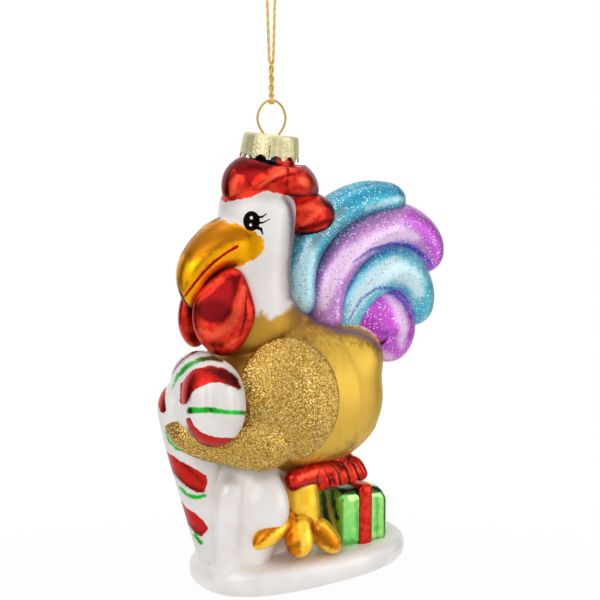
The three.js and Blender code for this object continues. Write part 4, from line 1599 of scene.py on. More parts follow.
TEAL = plume_finish(
    "teal_lacquer_with_glitter", ("#48B4C8", "#34A4BC", "#1298B8", "#BDEBF2", "#6A919F", "#23719F"))
PURPLE = plume_finish(
    "purple_lacquer_with_glitter", ("#CB8CD4", "#BE7EC8", "#9263A0", "#F2D0F5", "#C653D4", "#5446C4"))
CYAN = plume_finish(
    "cyan_lacquer_with_glitter", ("#7CCBDA", "#62BED0", "#1C9BB7", "#CFEDF3", "#4DB6CA", "#2A5CBC"))
MAGENTA = plume_finish(
    "magenta_lacquer_with_glitter", ("#CE54D8", "#C044CC", "#7C2590", "#F0C8F4", "#B936C6", "#5A48CE"))
# Each plume's pale layer is a painted highlight.
PLUMES = (
    Plume(
        "tail_plume_top", "cyan_lacquer", TEAL,
        [[-48.2, 0, 37.2], [-47.3, 0, 65.5], [-34.1, 0, 85], [-9.3, 0, 96.5], [19, 0, 95.6]],
        [[10.6, 8.8], [10.6, 8.8], [10.6, 9.7], [11.5, 9.7], [9.7, 8.8]], (0.11, 0.11),
        {
            "outer": Layer([[(340, 211, 4), (354, 201, 6), (374, 192, 6), (394, 191, 4)]]),
            "pale": Layer([
                [(304, 302, 11), (304, 272, 11), (311, 246, 6)],
                [(368, 209, 1), (386, 202, 2.5), (402, 199, 2)],
            ]),
            "tip": Layer([[(314, 244, 4), (326, 226, 7), (342, 210, 4)]]),
            "rim": Layer([[(330, 203, 1), (350, 190, 1), (377, 182.5, 1), (393, 185, 1), (404, 196, 1)]]),
        },
    ),
    Plume(
        "tail_plume_second", "purple_lacquer", PURPLE,
        [[-34.1, 0, 26.5], [-32.3, 0, 54.9], [-12.8, 0, 76.1], [13.7, 0, 82.3], [31.4, 0, 71.7],
         [32.3, 0, 54.9]],
        [[15, 8.8], [15, 11.5], [15, 12.4], [15, 12.7], [14.2, 11.5], [12.4, 8.8]], (0.09, 0.09),
        {
            "outer": Layer([[
                (315, 292, 4), (321, 262, 7), (337, 238, 9), (360, 221, 9), (386, 210, 8), (404, 206, 4),
            ]]),
            "pale": Layer([[
                (323, 304, 5), (333, 277, 8), (349, 257, 9), (373, 242, 9), (398, 233, 8), (416, 237, 4),
            ]]),
            "tip": Layer([[(410, 214, 5), (428, 230, 9), (438, 248, 9), (434, 266, 6)]]),
            "rim": Layer([[
                (350, 264, 0.5), (371, 250, 1.8), (392, 244, 2.2), (410, 246, 2.2), (424, 255, 2.2),
                (432, 265, 1.5),
            ]]),
        },
    ),
    Plume(
        "tail_plume_third", "cyan_lacquer", CYAN,
        [[-28, 0, 15.9], [-20, 0, 40.7], [-3.1, 0, 57.5], [13.7, 0, 58.4], [24.3, 0, 44.2], [21.7, 0, 26.5]],
        [[12, 10], [15.5, 13], [17.7, 14.2], [16.8, 14.2], [15.9, 12.4], [14.2, 9.7]], (0.11, 0.11),
        {
            "outer": Layer([
                [(335, 320, 4), (342, 290, 6), (355, 270, 6), (374, 256, 5), (394, 251, 4), (410, 254, 2)],
                [(428, 288, 1.5), (425, 306, 4), (413, 326, 4)],
            ]),
            "pale": Layer([[
                (351, 316, 4), (359, 296, 7), (375, 278, 9), (394, 268, 11), (411, 276, 9), (419, 293, 5),
            ]]),
            "tip": Layer([[(422, 304, 5), (412, 322, 5)]]),
            "rim": Layer([[
                (349, 320, 1), (361, 299, 1.4), (377, 288, 1.4), (392, 288, 1.4), (405, 299, 1.4),
                (411, 314, 0.8),
            ]]),
        },
    ),
    Plume(
        "tail_plume_low", "magenta_lacquer", MAGENTA,
        [[-23.5, 0, 23], [-2.2, 0, 32.7], [17.3, 0, 10.6]],
        [[17.7, 15.9], [20.4, 20.4], [16.8, 15.9]], (0.47, 0.41),
        {
            "outer": Layer([[(362, 329, 0.5), (382, 334, 2.4), (396, 333, 0.5)]]),
            "pale": Layer([
                [(387, 296, 2), (398, 308, 5), (404, 326, 5), (401, 345, 3)],
                [(378, 353, 3), (390, 357, 3)],
            ]),
            "tip": Layer([[(357, 316, 3), (372, 324, 6), (384, 344, 3)]]),
            "rim": Layer([[
                (351, 321, 1.8), (363, 302, 1.8), (377, 292, 1.8), (391, 291, 1.8), (403, 301, 1.8),
                (411, 317, 1.8),
            ]]),
        },
    ),
)


@dataclass
class Tail:
    """Four nested plumes that arch up from the rump."""

    plumes: tuple[Plume, ...] = PLUMES

    def build(self) -> None:
        """Builds the plumes from the top one down."""
        for plume in self.plumes:
            plume.build()


CANE_FLUTES = (208, 223, 237)
CANE_FLUTE_WINDOW = ((217, 408), (36, 44))
CANE_PAINT = {
    "red": Layer(
        [
            [(183.5, 401, 4), (187, 387, 7), (197.5, 378, 9.5), (210, 374, 8.5), (222, 375.5, 7.5),
             (234, 382, 5), (239, 387, 2)],
            [(188.5, 420, 2.5), (192.5, 430, 4), (201, 439, 6), (215.5, 444, 6.5), (230, 445, 7),
             (244, 442, 4.5)],
            [(166, 377, 2), (162, 388, 4), (160, 398, 5), (163, 410, 3)],
            [(196, 351, 0.8), (182, 360, 0.8), (170, 375, 0.8)],
        ],
        [
            [(160, 446), (170, 454), (180, 461), (194, 468), (207, 476), (207.5, 483), (204, 493), (196, 492),
             (186, 486), (179, 479), (172, 471), (160, 462)],
            [(180, 499), (187, 508), (195, 513), (204, 521), (208.5, 529), (201, 537), (195, 533),
             (188, 524)],
        ],
    ),
    "red_painted_shade": Layer([
        [(203, 370, 0.5), (214, 369, 5), (228, 375, 8), (240, 388, 7)],
        [(191, 386, 0.8), (188, 399, 0.8)],
        [(188, 428, 0.8), (198, 444, 2.4), (215, 450.5, 3), (236, 451, 1.6)],
        [(172, 471, 1.5), (186, 487, 2.5), (203, 493, 2.5)],
        [(176, 458, 0.5), (190, 470, 1), (202, 482, 0.5)],
        [(186, 520, 1), (196, 533, 2.2), (205, 534, 1.5)],
        [(196, 351, 1), (182, 360, 1), (170, 375, 1), (163, 384, 1)],
    ]),
    "green": Layer([
        [(172.5, 388, 0.6), (177.5, 376, 2), (187.5, 366, 2.5), (200, 359.5, 2.2), (212.5, 358, 2),
         (221, 360, 1.2)],
        [(190, 410.5, 3.2), (210, 410, 2.8), (225, 412, 2.4), (245, 413, 2)],
        [(166, 432, 0.8), (169, 441, 1.2), (177, 449, 1.5), (187, 452, 1.3), (197, 453, 0.6)],
        [(180, 487.5, 1.2), (187.5, 495, 1.8), (196, 497.5, 2.2), (205, 495.5, 1.6)],
        [(195, 535, 2), (201, 543, 2)],
    ]),
    "green_dark": Layer([
        [(202, 359, 0.6), (212, 358, 2), (222, 361, 1.6)],
        [(190, 410, 2), (190.5, 411, 2)],
        [(210, 409.5, 1.6), (210.5, 410.5, 1.6)],
        [(197, 538, 1), (200, 542, 1)],
    ]),
}


@dataclass
class CandyCane:
    """A white cane with brushed red and green stripes."""

    diameter: float = 14.8
    grain: float = 0.4
    fillet_rounds: int = 30
    flute_width: float = 2.6
    flute_depth: float = 0.22
    near_turn: float = -0.25
    stripe_pitch: float = 15.0
    stripe_lead: float = 4.0
    stripe_axis: float = 34.0
    red_half: float = 2.6
    red_phase: float = 4.0
    green_half: float = 0.6
    green_phase: float = 10.5

    def forms(self) -> list[SoftForm]:
        """Gives the forms that melt together.

        Returns:
            The shaft, the crook, the hook and the web between them.
        """
        shaft = FIGURE.from_base(
            [[-42.3, 3.5, -8], [-52, 4.4, 27.4]], [[-60, 5.3, -15.9], [-66, 3.5, 11]])
        crook = FIGURE.on_body([[-54.9, 12.4, -1.8], [-59.3, -7.1, 12.4], [-60.2, -23, 8]])
        hook = FIGURE.on_body([[-61.1, -23.5, -16.8], [-61.1, -23.2, 5.3], [-61.2, -16.8, 25.7]])
        web = FIGURE.on_body([[-60.5, -8, -15.9], [-60.5, -8.8, 0], [-60.5, -8.8, 10.6]])
        web_half = sized(self.diameter, [[40.5, 33.8], [47.3, 47.3], [45.9, 47.3]])
        return [
            SoftForm(shaft, sized(self.diameter, [[50, 50]] * 4), FRONT, (0.1, 0.15)),
            SoftForm(crook, sized(self.diameter, [[50, 57.4]] * 3), FRONT),
            SoftForm(hook, sized(self.diameter, [[58.8, 55.4]] * 3), FRONT, (0.45, 0.45)),
            SoftForm(web, web_half, FRONT),
        ]

    def wound(self, points: np.ndarray) -> dict[str, np.ndarray]:
        """Winds plain stripes round the far side.

        Args:
            points: the cane's points.

        Returns:
            Millimetres inside each stripe, by layer.
        """
        angle = np.arctan2(points[:, 1], points[:, 0] - FIGURE.body_place[0] + self.stripe_axis)
        phase = (angle * self.stripe_lead + points[:, 2]) % self.stripe_pitch
        return {
            "red": self.red_half - np.abs(phase - self.red_phase),
            "green": self.green_half - np.abs(phase - self.green_phase),
        }

    def build(self) -> None:
        """Melts the forms, presses the flutes and brushes the stripes."""
        meshes = [form.mesh() for form in self.forms()]
        piece = melted("candy_cane", meshes, self.grain, self.fillet_rounds)
        places = STENCIL.lay(piece.points)
        near = piece.normals @ -AWAY > self.near_turn
        flute = sum(np.exp(-(((places[:, 0] - x) / self.flute_width) ** 2)) for x in CANE_FLUTES)
        piece.press(-self.flute_depth * flute * bowl(places, *CANE_FLUTE_WINDOW) * near)
        places = STENCIL.lay(piece.points)
        depths = {name: layer.depth(places) for name, layer in CANE_PAINT.items()}
        # The painted shade stays inside the red stripes.
        depths["red_painted_shade"] = np.minimum(depths["red_painted_shade"], depths["red"])
        wound = self.wound(piece.points)
        for name, depth in depths.items():
            piece.paint(name, np.where(near, depth, wound.get(name, NO_PAINT)))
        piece.place(STRIPED, "striped_white", ["candy_cane"])


@dataclass
class SnowGround:
    """The snow base and the drift that carries the hen."""

    length: float = 69.5
    width: float = 39.5
    height: float = 8.5
    edge: float = 3.6
    squareness: float = 0.8
    grain: float = 0.5
    fillet_rounds: int = 40
    sides: int = 120
    edge_steps: int = 9

    def base(self) -> Mesh:
        """Draws the oval slab with its rounded edge.

        Returns:
            Points and faces.
        """
        angle = ring_angles(self.sides)
        along, across = (np.sign(k) * np.abs(k) ** self.squareness for k in (np.cos(angle), np.sin(angle)))
        middle = FIGURE.base_top[0]
        rings = []
        for k in np.linspace(-np.pi / 2, np.pi / 2, self.edge_steps):
            reach = self.edge * (math.cos(k) - 1)
            level = self.height / 2 + (self.height / 2 - self.edge) * np.sign(k) + self.edge * math.sin(k)
            wide = middle + (self.length / 2 + reach) * along
            deep = (self.width / 2 + reach) * across
            rings.append(np.stack([wide, deep, np.full(self.sides, level)], axis=1))
        return closed_skin((middle, 0, 0), rings, (middle, 0, self.height))

    def forms(self) -> list[SoftForm]:
        """Gives the forms that melt together.

        Returns:
            The drift's apron, fold, mound and bulge.
        """
        size = FIGURE.body_length
        apron = FIGURE.from_base([[-43.2, -3.7, -9.7], [-37.2, -7.8, 16.8]], [[-34.2, -5.3, -26.5]])
        fold = FIGURE.from_base([[-50.3, -11.2, -6.2], [-50.3, -12.4, 20.4]], [[-46.9, -13.3, -36.3]])
        mound = FIGURE.from_base([[-24.6, 0, -9.7], [-24.6, 0, 16.8]], [[-22.1, 0, -26.5]])
        bulge = FIGURE.from_base([[-34.3, -15.9, 8], [-35.2, -22.1, 29.2]], [[-31.9, -12.4, -30.1]])
        return [
            SoftForm(apron, sized(size, [[12.9, 14.2], [17.7, 15], [19.5, 15]]), OUTWARD, (0.13, 0.22)),
            SoftForm(fold, sized(size, [[9.7, 8], [8.1, 7.4], [7.8, 7.4]]), FRONT, (0.13, 0.2)),
            SoftForm(mound, sized(size, [[31, 14.2], [29.2, 15.9], [30.1, 21.2]]), FRONT, (0.13, 0.32)),
            SoftForm(bulge, sized(size, [[8.8, 7.1], [12.7, 8.8], [11.5, 8.8]]), OUTWARD),
        ]

    def build(self) -> None:
        """Melts base and drift together."""
        meshes = [self.base(), *[form.mesh() for form in self.forms()]]
        piece = melted("snow_ground", meshes, self.grain, self.fillet_rounds)
        piece.paint("crease", piece.crease())
        piece.place(SNOW, "pearl_white", ["snow_base", "snow_drift"])


# Root, bend and tip of each toe in hundredths of a toe's length.
# The last number is its half width in hundredths of its thickness.
TOES = (
    ((-26, -7, 88), (-86, -24, 71), (-130, -32, 49), 50),
    ((-11, -14, 86), (-28, -34, 48), (-33, -43, 13), 62),
    ((15, -14, 72), (36, -34, 38), (60, -43, 8), 52),
)
# Painted shade in the folds of the toes.
FOOT_PAINT = {
    "painted_shade": Layer([
        [(289, 517, 5), (272, 527, 6), (256, 541, 5)],
        [(293, 523, 6), (291, 538, 8), (294, 550, 7)],
        [(314, 527, 5), (324, 537, 8), (336, 545, 5)],
    ]),
    "deep": Layer([
        [(285, 520, 1), (272, 530, 0.8), (257, 543, 0.6)],
        [(286, 518, 1.5), (292, 524, 1.5)],
        [(290, 548, 3), (298, 544, 2)],
        [(311, 526, 2), (320, 537, 4.5), (332, 546, 2.5)],
    ]),
}


@dataclass
class Feet:
    """A leg and three toes on each side of the drift."""

    leg_diameter: float = 9.2
    toe_diameter: float = 6.4
    toe_length: float = 14.5
    forward: float = 6.4
    out: float = 11.0
    leg_rise: float = 0.4
    grain: float = 0.3
    fillet_rounds: int = 10

    def forms(self) -> list[SoftForm]:
        """Gives the forms of the left foot.

        Returns:
            The leg and the toes.
        """
        place = (FIGURE.base_top[0] - self.forward, -self.out, FIGURE.base_top[2])
        top = [[place[0], place[1], FIGURE.body_place[2] - FIGURE.body_height * self.leg_rise]]
        leg = np.vstack([start(place, self.toe_length, [[0, 0, 12], [0, 0, 79.3]]), top])
        forms = [SoftForm(leg, sized(self.leg_diameter, [[50, 46], [60, 54], [44, 40]]), FRONT, (0.2, 0.15))]
        for root, bend, tip, wide in TOES:
            rows = [[wide + 4, wide + 4], [wide + 2, wide + 4], [wide - 10, wide - 10]]
            spine = start(place, self.toe_length, [root, bend, tip])
            forms.append(SoftForm(spine, sized(self.toe_diameter, rows), UP, (0.3, 0.32)))
        return forms

    def build(self) -> None:
        """Builds both feet and shades the toes."""
        left = self.forms()
        for name, forms in (("foot_left", left), ("foot_right", [form.mirrored() for form in left])):
            piece = melted(name, [form.mesh() for form in forms], self.grain, self.fillet_rounds)
            piece.paint("crease", piece.crease())
            brush(piece, STENCIL.lay(piece.points, both_sides=True), FOOT_PAINT)
            piece.place(YELLOW, "yellow_lacquer", [name])


GIFT_LEAF = Layer([
    [(340, 500, 2.2), (340, 541, 2.2)],
    [(386, 498, 2.2), (387, 540, 2.2)],
    [(357, 498, 1.2), (358, 540, 1.2)],
    [(377, 498, 1.2), (377, 540, 1.2)],
    [(342, 541, 1.4), (386, 541, 1.4)],
])
# Painted shade under the bow, along the top of the front face.
GIFT_BOW_SHADE = Layer([[(338, 491, 4), (362, 490, 5), (384, 489, 3)]])
GIFT_SHADOW = Layer([
    [(323, 490, 1.5), (324, 505, 2.5), (330, 532, 3)],
    [(332, 490, 1.5), (334, 505, 2), (337, 520, 1.5)],
    [(316, 515, 1), (320, 530, 2), (324, 541, 2)],
])
# Painted reflection of the yellow foot on the left face.
GIFT_FOOT_REFLECTION = Layer([
    [(327, 493, 0.8), (330, 512, 1.6), (338, 538, 1.2)],
    [(318, 500, 1), (321, 518, 1)],
])
GIFT_TOP_SHADE_END = 362
# Painted highlights on the tops of the loops and painted shade under them.
BOW_PAINT = {
    "painted_highlight": Layer([
        [(300, 478, 0.6), (312, 473, 1.6), (322, 470, 0.8)],
        [(335, 468, 0.8), (340, 477, 1.6)],
        [(344, 464, 0.8), (350, 473, 1.8)],
        [(352, 461, 0.8), (359, 471, 2)],
    ]),
    "painted_shade": Layer([
        [(286, 491, 2), (300, 488, 2), (316, 482, 1)],
        [(288, 478, 1.5), (290, 488, 1)],
        [(326, 489, 2), (346, 489, 2), (364, 482, 1.5)],
        [(331, 474, 1.5), (335, 484, 1.2)],
    ]),
    "line": Layer([
        [(320, 470, 0.5), (317, 478, 0.9), (319, 486, 0.6)],
        [(324, 469, 0.4), (329, 478, 0.8), (330, 488, 0.6)],
        [(332, 465, 0.5), (339, 474, 1), (341, 487, 0.8)],
        [(340, 460, 0.5), (347, 470, 1), (351, 485, 0.8)],
        [(347, 457, 0.5), (355, 467, 1), (360, 481, 0.8)],
        [(354, 459, 0.4), (361, 469, 0.6), (366, 478, 0.5)],
    ]),
}


@dataclass
class Gift:
    """A wrapped gift with a ribbon and a gathered bow."""

    length: float = 17.5
    depth: float = 15.0
    height: float = 19.0
    corner: float = 3.6
    overhang: float = 0.7
    shoulder: float = 3.0
    shoulder_start: float = 2.0
    sink: float = 2.0
    back: float = 14.2
    out: float = 5.5
    ribbon_width: float = 5.2
    ribbon_stand: float = 0.9
    ribbon_line: float = 0.35
    cuts: int = 40
    folds: int = 5
    bow_grain: float = 0.25
    bow_rounds: int = 5
    side_paint: float = 1.5
    top_paint: float = 0.6
    side_turn: float = 0.5
    face_turn: float = 0.3
    slope_limit: float = 1.2

    @property
    def top(self) -> float:
        """Height of the gift's top."""
        return FIGURE.base_top[2] - self.sink + self.height

    @property
    def middle(self) -> np.ndarray:
        """The gift's middle."""
        return np.array([FIGURE.base_top[0] + self.back, -self.out, self.top - self.height / 2])

    def block(self, size: Sequence[float], corner: float) -> Mesh:
        """Draws a box with rounded edges round the gift's middle.

        Args:
            size: its three sizes.
            corner: radius of the edges.

        Returns:
            Points and faces.
        """
        work = bmesh.new()
        bmesh.ops.create_cube(work, size=2.0)
        bmesh.ops.subdivide_edges(work, edges=work.edges[:], cuts=self.cuts, use_grid_fill=True)
        half = np.array(size) / 2
        place = np.array([vert.co for vert in work.verts]) * half
        faces = [tuple(vert.index for vert in face.verts) for face in work.faces]
        work.free()
        core = np.clip(place, corner - half, half - corner)
        off = place - core
        run = np.maximum(np.linalg.norm(off, axis=1, keepdims=True), 1e-9)
        return np.where(run > 1e-6, core + off / run * corner, place) + self.middle, faces

    def box(self) -> None:
        """Builds the box, whose right end slopes down, and paints its sides, with painted shade and a painted
        reflection of the foot.
        """
        size = (self.length + 2 * self.overhang, self.depth, self.height)
        box = Piece("gift_box", *self.block(size, self.corner))
        x, _, z = box.points.T
        slope = (x - self.middle[0] - self.shoulder_start) / (self.length / 2 - self.shoulder_start)
        fall = np.clip(slope, 0, self.slope_limit) ** 2
        drop = self.shoulder * fall * (z - (self.top - self.height)) / self.height
        box.points = box.points + np.stack([np.full(len(drop), self.overhang), 0 * drop, -drop], axis=1)
        places = STENCIL.lay(box.points)
        normals = box.normals
        side, face = normals[:, 0] < -self.side_turn, normals[:, 1] < -self.face_turn
        top = (normals[:, 2] > self.side_turn) & (places[:, 0] < GIFT_TOP_SHADE_END)
        shades = [GIFT_SHADOW.depth(places), GIFT_BOW_SHADE.depth(places), self.top_paint]
        box.paint("crease", np.zeros(len(places)))
        # The whole left face takes a darker green: painted shade.
        box.paint("deep", np.where(side, self.side_paint, NO_PAINT))
        box.paint("painted_shade", np.select([side, face, top], shades, NO_PAINT))
        brush(box, places, {"leaf": GIFT_LEAF}, face)
        brush(box, places, {"foot_reflection": GIFT_FOOT_REFLECTION}, side)
        box.place(GREEN, "green_lacquer", ["gift_box"])

    def ribbon(self) -> None:
        """Builds the ribbon round the box."""
        stand = 2 * self.ribbon_stand
        size = (self.ribbon_width, self.depth + stand, self.height + stand)
        band = Piece("gift_ribbon", *self.block(size, self.corner / 2))
        band.points = band.points + np.array([self.overhang, 0, 0])
        off = np.abs(band.points[:, 0] - self.middle[0] - self.overhang)
        band.paint("crease", np.zeros(len(off)))
        band.paint("line", off - self.ribbon_width / 2 + self.ribbon_line)
        band.place(RED, "red_lacquer", ["gift_ribbon"])

    def bow_forms(self) -> list[SoftForm]:
        """Gives the forms that melt together.

        Returns:
            The bow's tail to the left, its core and its gathered folds.
        """
        place = (self.middle[0], self.middle[1] - self.depth / 2, self.top)
        tail = start(place, self.length, [[-30, 14, 34], [-92, 2, 40], [-134, -6, 41], [-160, -10, 36]])
        core = start(place, self.length, [[-92, 16, 40], [-62, 24, 46], [-30, 30, 48], [0, 32, 40]])
        first_fold = np.array([[-85, 6, 40], [-86, -3, 29], [-81, -3, 13]])
        last_fold = np.array([[-9, 29, 49], [-4, 13, 33], [4, 8, 11]])
        fold_half = sized(self.length, [[10, 10], [12.5, 11.5], [12, 11]])
        forms = [
            SoftForm(tail, sized(self.length, [[19, 17], [19, 17], [17, 15], [19, 14]]), UP, (0.3, 0.1)),
            SoftForm(core, sized(self.length, [[20, 22], [26, 24], [24, 22], [18, 18]]), UP),
        ]
        for share in np.linspace(0, 1, self.folds):
            rows = first_fold + share * (last_fold - first_fold)
            forms.append(SoftForm(start(place, self.length, rows), fold_half, FRONT, (0.35, 0.2)))
        return forms

    def bow(self) -> None:
        """Builds the bow and lines its folds."""
        meshes = [form.mesh() for form in self.bow_forms()]
        bow = melted("gift_bow", meshes, self.bow_grain, self.bow_rounds)
        bow.paint("crease", bow.crease())
        brush(bow, STENCIL.lay(bow.points), BOW_PAINT)
        bow.place(RED, "red_lacquer", ["gift_bow"])

    def build(self) -> None:
        """Builds the box, the ribbon and the bow."""
        self.box()
        self.ribbon()
        self.bow()


@dataclass
class Hardware:
    """Glass neck, sheet-metal cap and wire hanger."""

    neck_radius: float = 6.6
    neck_rise: float = 21.7
    neck_foot: float = 4.0
    neck_red_edge: float = 1.6
    glass_wall: float = 0.9
    cap_clearance: float = 0.85
    cap_seat_gap: float = 0.3
    cap_sheet: float = 0.3
    cap_height: float = 7.0
    cap_flare: float = 0.5
    cap_bend: float = 0.8
    crown_middle: float = 0.25
    scallops: int = 12
    scallop_radius: float = 1.55
    scallop_columns: int = 24
    # Where each slit is, counted in scallops, and its share of the skirt's height.
    slits: tuple[Place, ...] = ((8.5, 0.8), (2.5, 0.4), (5.5, 0.7), (-0.5, 0.6))
    bead_pitch: float = 1.3
    bead_line: Place = (0.15, 0.75)
    outer_line: Place = (1.1, 0.4)
    bead_width: float = 0.2
    bead_rise: float = 0.12
    bead_start: float = 0.12
    bead_growth: float = 5.0
    stamping_start: float = 1.2
    fold_depth: float = 0.06
    line_half: float = 0.1
    cap_tilt: float = math.radians(6)
    wire: float = 0.6
    hole_clearance: float = 0.3
    ring_width: float = 7.9
    ring_height: float = 9.4
    hole_spacing: float = 4.2
    leg_length: float = 15.0
    leg_spread: float = 8.4
    leg_pinch: float = 0.85
    neck_sides: int = 96
    lip_steps: int = 9
    crown_rows: int = 26
    bend_rows: int = 7
    skirt_rows: int = 41
    wire_sides: int = 16
    wire_steps: int = 220
    # Half width and height of the ring's bends, as shares of half its width and of its height.
    ring_bends: tuple[Place, ...] = (
        (0.72, 0.12), (0.88, 0.25), (1, 0.46), (0.93, 0.64), (0.72, 0.83), (0.36, 0.97),
    )

    @property
    def neck_top(self) -> float:
        """Height of the neck's lip above the figure's underside."""
        return FIGURE.head_place[2] + self.neck_rise

    @property
    def hole_line(self) -> float:
        """Height of the cap's top in the frame, in mm."""
        lift = self.neck_radius * math.sin(self.cap_tilt) + self.cap_seat_gap + self.cap_sheet
        return FIGURE_DROP + self.neck_top + lift

    def neck(self) -> None:
        """Builds the open glass neck with its rounded lip."""
        low = FIGURE.head_place[2] + self.neck_foot
        outer, inner = self.neck_radius, self.neck_radius - self.glass_wall
        lip = self.glass_wall / 2
        crest = self.neck_top - lip
        profile = [(outer, low), (outer, crest)]
        for k in np.linspace(0, np.pi, self.lip_steps)[1:-1]:
            profile.append((outer - lip + lip * math.cos(k), crest + lip * math.sin(k)))
        profile += [(inner, crest), (inner, low)]
        angle = ring_angles(self.neck_sides)
        points = np.array([(r * math.cos(a), r * math.sin(a), z) for r, z in profile for a in angle])
        piece = Piece("glass_neck", points, quads(len(profile), len(angle), closed=True))
        piece.paint("comb_edge", piece.points @ OUTWARD - self.neck_red_edge)
        piece.place(SILVER, "silvered_glass", ["glass_neck"])

    def zigzag(self, across: np.ndarray, level: np.ndarray | float, line: Place) -> np.ndarray:
        """Gives the distance from a stamped zigzag line, whose inset and swing are given, in mm."""
        chain = 2 * np.abs(level / self.bead_pitch % 1 - 0.5)
        return np.abs(across) - line[0] - line[1] * chain

    def stamping(self, points: np.ndarray) -> np.ndarray:
        """Measures how far inside the stamped lines of the skirt each place lies.

        Args:
            points: the cap's points, counted from its top.

        Returns:
            Millimetres inside the lines; outside them they are negative.
        """
        x, y, z = points.T
        pitch = 2 * np.pi / self.scallops
        across = ((np.arctan2(y, x) + pitch / 2) % pitch - pitch / 2) * np.hypot(x, y)
        gaps = [np.abs(self.zigzag(across, z, line)) for line in (self.bead_line, self.outer_line)]
        skirt = z < -self.stamping_start * self.cap_bend
        return np.where(skirt, self.line_half - np.minimum(*gaps), NO_PAINT)

    def cap_grid(self) -> np.ndarray:
        """Lays out the cap's sheet with its bead chains, folds and scallops.

        Returns:
            Points by row, from the middle of the crown down the skirt, and by column round it.
        """
        outer = self.neck_radius + self.cap_clearance + self.cap_sheet
        bend, fall = self.cap_bend, self.cap_height - self.cap_bend
        top = [(r, 0.0) for r in np.linspace(self.crown_middle, outer - bend, self.crown_rows)]
        quarter = np.linspace(0, np.pi / 2, self.bend_rows)[1:]
        top += [(outer - bend * (1 - math.sin(k)), -bend * (1 - math.cos(k))) for k in quarter]
        shares = np.linspace(0, 1, self.skirt_rows)[1:]
        skirt = [(outer + self.cap_flare * t, -bend - fall * t) for t in shares]
        angle = ring_angles(self.scallops * self.scallop_columns)
        pitch = 2 * np.pi / self.scallops
        phase = (angle + pitch / 2) % pitch - pitch / 2
        fold = np.cos(2 * np.pi * (phase + pitch / 2) / pitch)
        rings = []
        for row, (radius, level) in enumerate(top + skirt):
            reach = np.full(len(angle), radius)
            if row >= len(top):
                depth = -level / self.cap_height
                bead = np.exp(-((self.zigzag(phase * radius, level, self.bead_line) / self.bead_width) ** 2))
                rise = self.bead_rise * bead * min(1, self.bead_growth * (depth - self.bead_start))
                reach = reach + rise - self.fold_depth * fold * depth
            ring = [reach * np.cos(angle), reach * np.sin(angle), np.full(len(angle), level)]
            rings.append(np.stack(ring, axis=1))
        grid = np.array(rings)
        edge = np.abs(np.abs(phase) - pitch / 2) * (outer + self.cap_flare)
        notch = np.sqrt(np.maximum(0, self.scallop_radius**2 - edge**2)) - self.cap_height
        lowest = np.where(grid[..., 2] < -bend, notch, -self.cap_height - 1)
        grid[..., 2] = np.maximum(grid[..., 2], lowest)
        return grid

    def cap_faces(self, grid: np.ndarray) -> list:
        """Lists the sheet's faces, without the wire holes, the slits and what the scallops cut off.

        Args:
            grid: the sheet's points.

        Returns:
            Faces, the crown's middle last.
        """
        rows, columns = grid.shape[:2]
        flat = grid.reshape(-1, 3)
        slits = {round((k + 0.5) * self.scallop_columns) % columns: reach for k, reach in self.slits}
        hole = self.wire / 2 + self.hole_clearance
        faces = []
        for face in quads(rows, columns):
            a, b, c, d = flat[list(face)]
            x, y, z = (a + c) / 2
            column = face[0] % columns
            holed = z > -0.1 and math.hypot(abs(x) - self.hole_spacing / 2, y) < hole
            slit = column in slits and -z > self.cap_height * (1 - slits[column])
            cut_off = max(np.linalg.norm(a - d), np.linalg.norm(b - c)) < 1e-6
            if not (holed or slit or cut_off):
                faces.append(face[::-1])
        return faces + [tuple(range(columns))]

    def cap(self) -> None:
        """Builds the stamped cap and tilts it on the neck."""
        grid = self.cap_grid()
        piece = Piece("cap", grid.reshape(-1, 3), self.cap_faces(grid))
        work = bmesh.new()
        work.from_mesh(piece.mesh)
        bmesh.ops.remove_doubles(work, verts=work.verts[:], dist=1e-4)
        bmesh.ops.delete(work, geom=[vert for vert in work.verts if not vert.link_faces], context="VERTS")
        bmesh.ops.recalc_face_normals(work, faces=work.faces[:])
        work.to_mesh(piece.mesh)
        work.free()
        sheet = piece.object.modifiers.new("sheet", "SOLIDIFY")
        sheet.thickness = self.cap_sheet
        sheet.offset = -1
        piece.settle()
        piece.paint("stamping", self.stamping(piece.points))
        swing = Matrix.Rotation(RING_TURN, 4, "Z") @ Matrix.Rotation(self.cap_tilt, 4, "Y")
        swing = swing @ Matrix.Rotation(math.radians(-90), 4, "Z")
        piece.points = piece.points @ np.array(swing.to_3x3()).T
        piece.place(CAP_SHEET, "cap_sheet", ["cap"], Body.CAP, self.hole_line)

    def hanger(self) -> None:
        """Bends the wire: up one leg, round the ring and down the other."""
        foot = self.hole_spacing / 2
        spread = self.leg_spread / 2
        right = [(spread, -self.leg_length), ((foot + spread) / 2, -self.leg_length / 2)]
        right += [(self.leg_pinch * foot, -2 * self.wire), (foot, 0)]
        right += [(w * self.ring_width / 2, h * self.ring_height) for w, h in self.ring_bends]
        flat = right + [(0, self.ring_height)] + [(-x, z) for x, z in reversed(right)]
        line = np.array([(x * OUTWARD[0], x * OUTWARD[1], z) for x, z in flat])
        line = along_curve(line, np.linspace(0, 1, self.wire_steps))[0]
        round_wire = tube(line, lambda run, angle: np.full(len(angle), self.wire / 2), self.wire_sides)
        piece = Piece("wire_hanger", *round_wire)
        piece.place(BRASS_WIRE, "brass_wire", ["wire_hanger"], Body.HANGER, self.hole_line)

    def build(self) -> None:
        """Builds the three pieces."""
        self.neck()
        self.cap()
        self.hanger()


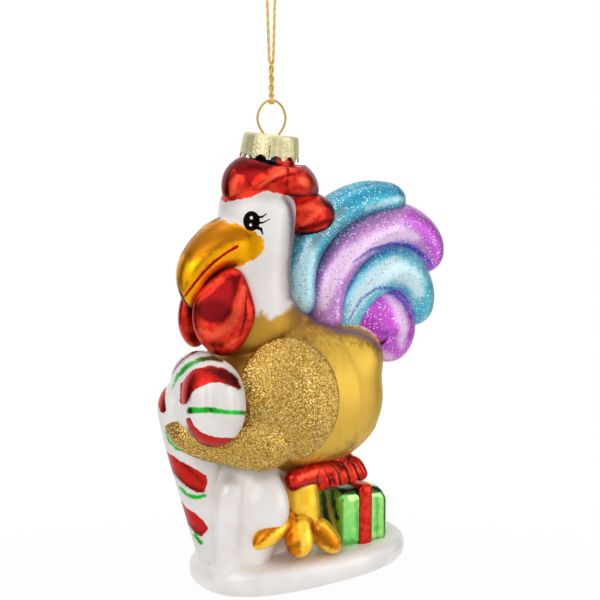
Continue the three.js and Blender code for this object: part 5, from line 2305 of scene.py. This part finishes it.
@dataclass
class Cord:
    """A loop of twisted gold cord, hitched on the wire ring."""

    diameter: float = 0.8
    lay_length: float = 2.4
    ply_depth: float = 0.14
    ring_top: float = -38.1
    hitch_clearance: float = 0.35
    hitch_turns: float = 2.0
    hitch_width: float = 1.2
    twist_top: float = -27.0
    twist_length: float = 10.0
    twist_turns: float = 2.0
    route: tuple[Place, ...] = (
        (0.4, -36.9), (0.4, -33), (0.45, -29), (0.62, -25), (0.85, -18), (1.02, -12), (1.4, -7), (2.1, -3.2),
        (1.75, -0.6),
    )
    apex: float = 0.4
    sides: int = 12
    loop_steps: int = 420
    hitch_steps: int = 160

    def thread(self, run: np.ndarray, angle: np.ndarray) -> np.ndarray:
        """Gives the radius of the twisted cord: two plies that wind round each other."""
        ply = np.cos(2 * (angle - 2 * np.pi * run / (2 * self.lay_length)))
        return self.diameter / 2 * (1 - self.ply_depth + self.ply_depth * ply)

    def laid(self, across: np.ndarray, away: np.ndarray, level: np.ndarray) -> np.ndarray:
        """Turns places across the ring, away through it and up into the frame's axes."""
        return np.outer(across, OUTWARD) + np.outer(away, AWAY) + np.outer(level, UP)

    def line(self) -> np.ndarray:
        """Follows the loop from the ring up, over and down again, with its strands twisted near the ring.

        Returns:
            Points, one row each.
        """
        flat = [*self.route, (0, self.apex), *[(-x, z) for x, z in reversed(self.route)]]
        line = along_curve(np.array([(x, 0.0, z) for x, z in flat]), np.linspace(0, 1, self.loop_steps))[0]
        wrap = np.clip((self.twist_top - line[:, 2]) / self.twist_length, 0, 1) * self.twist_turns * 2 * np.pi
        return self.laid(line[:, 0] * np.cos(wrap), line[:, 0] * np.sin(wrap), line[:, 2])

    def hitch(self) -> bpy.types.Object:
        """Winds the hitch round the ring's wire.

        Returns:
            The hitch.
        """
        share = np.linspace(0, 1, self.hitch_steps)
        radius = self.diameter / 2 + self.hitch_clearance
        angle = share * 2 * np.pi * self.hitch_turns - np.pi / 2
        shift = (share - 0.5) * self.diameter * self.hitch_width
        wrap = self.laid(shift, radius * np.cos(angle), radius * np.sin(angle))
        piece = Piece("cord_hitch", *tube(wrap, self.thread, self.sides))
        return piece.place(GOLD_THREAD, "gold_cord", ["cord_hitch"], Body.HITCH, self.ring_top)

    def build(self) -> None:
        """Builds the loop and its hitch on the ring."""
        knot = self.hitch()
        line = self.line()
        loop = Piece("cord_loop", *tube(line, self.thread, self.sides))
        made = loop.place(GOLD_THREAD, "gold_cord", ["cord_loop"], Body.CORD, 0.0)


def main() -> None:
    """Builds the studio and the ornament, from the cord down."""
    logging.basicConfig(level=logging.INFO, format="%(name)s: %(message)s")
    Studio().build()
    parts = (
        Cord(), Hardware(), Hen(), Comb(), Wattles(), Wings(), Tail(),
        CandyCane(), SnowGround(), Feet(), Gift(),
    )
    for part in parts:
        LOG.info("building %s", type(part).__name__)
        part.build()


if __name__ == "__main__":
    main()
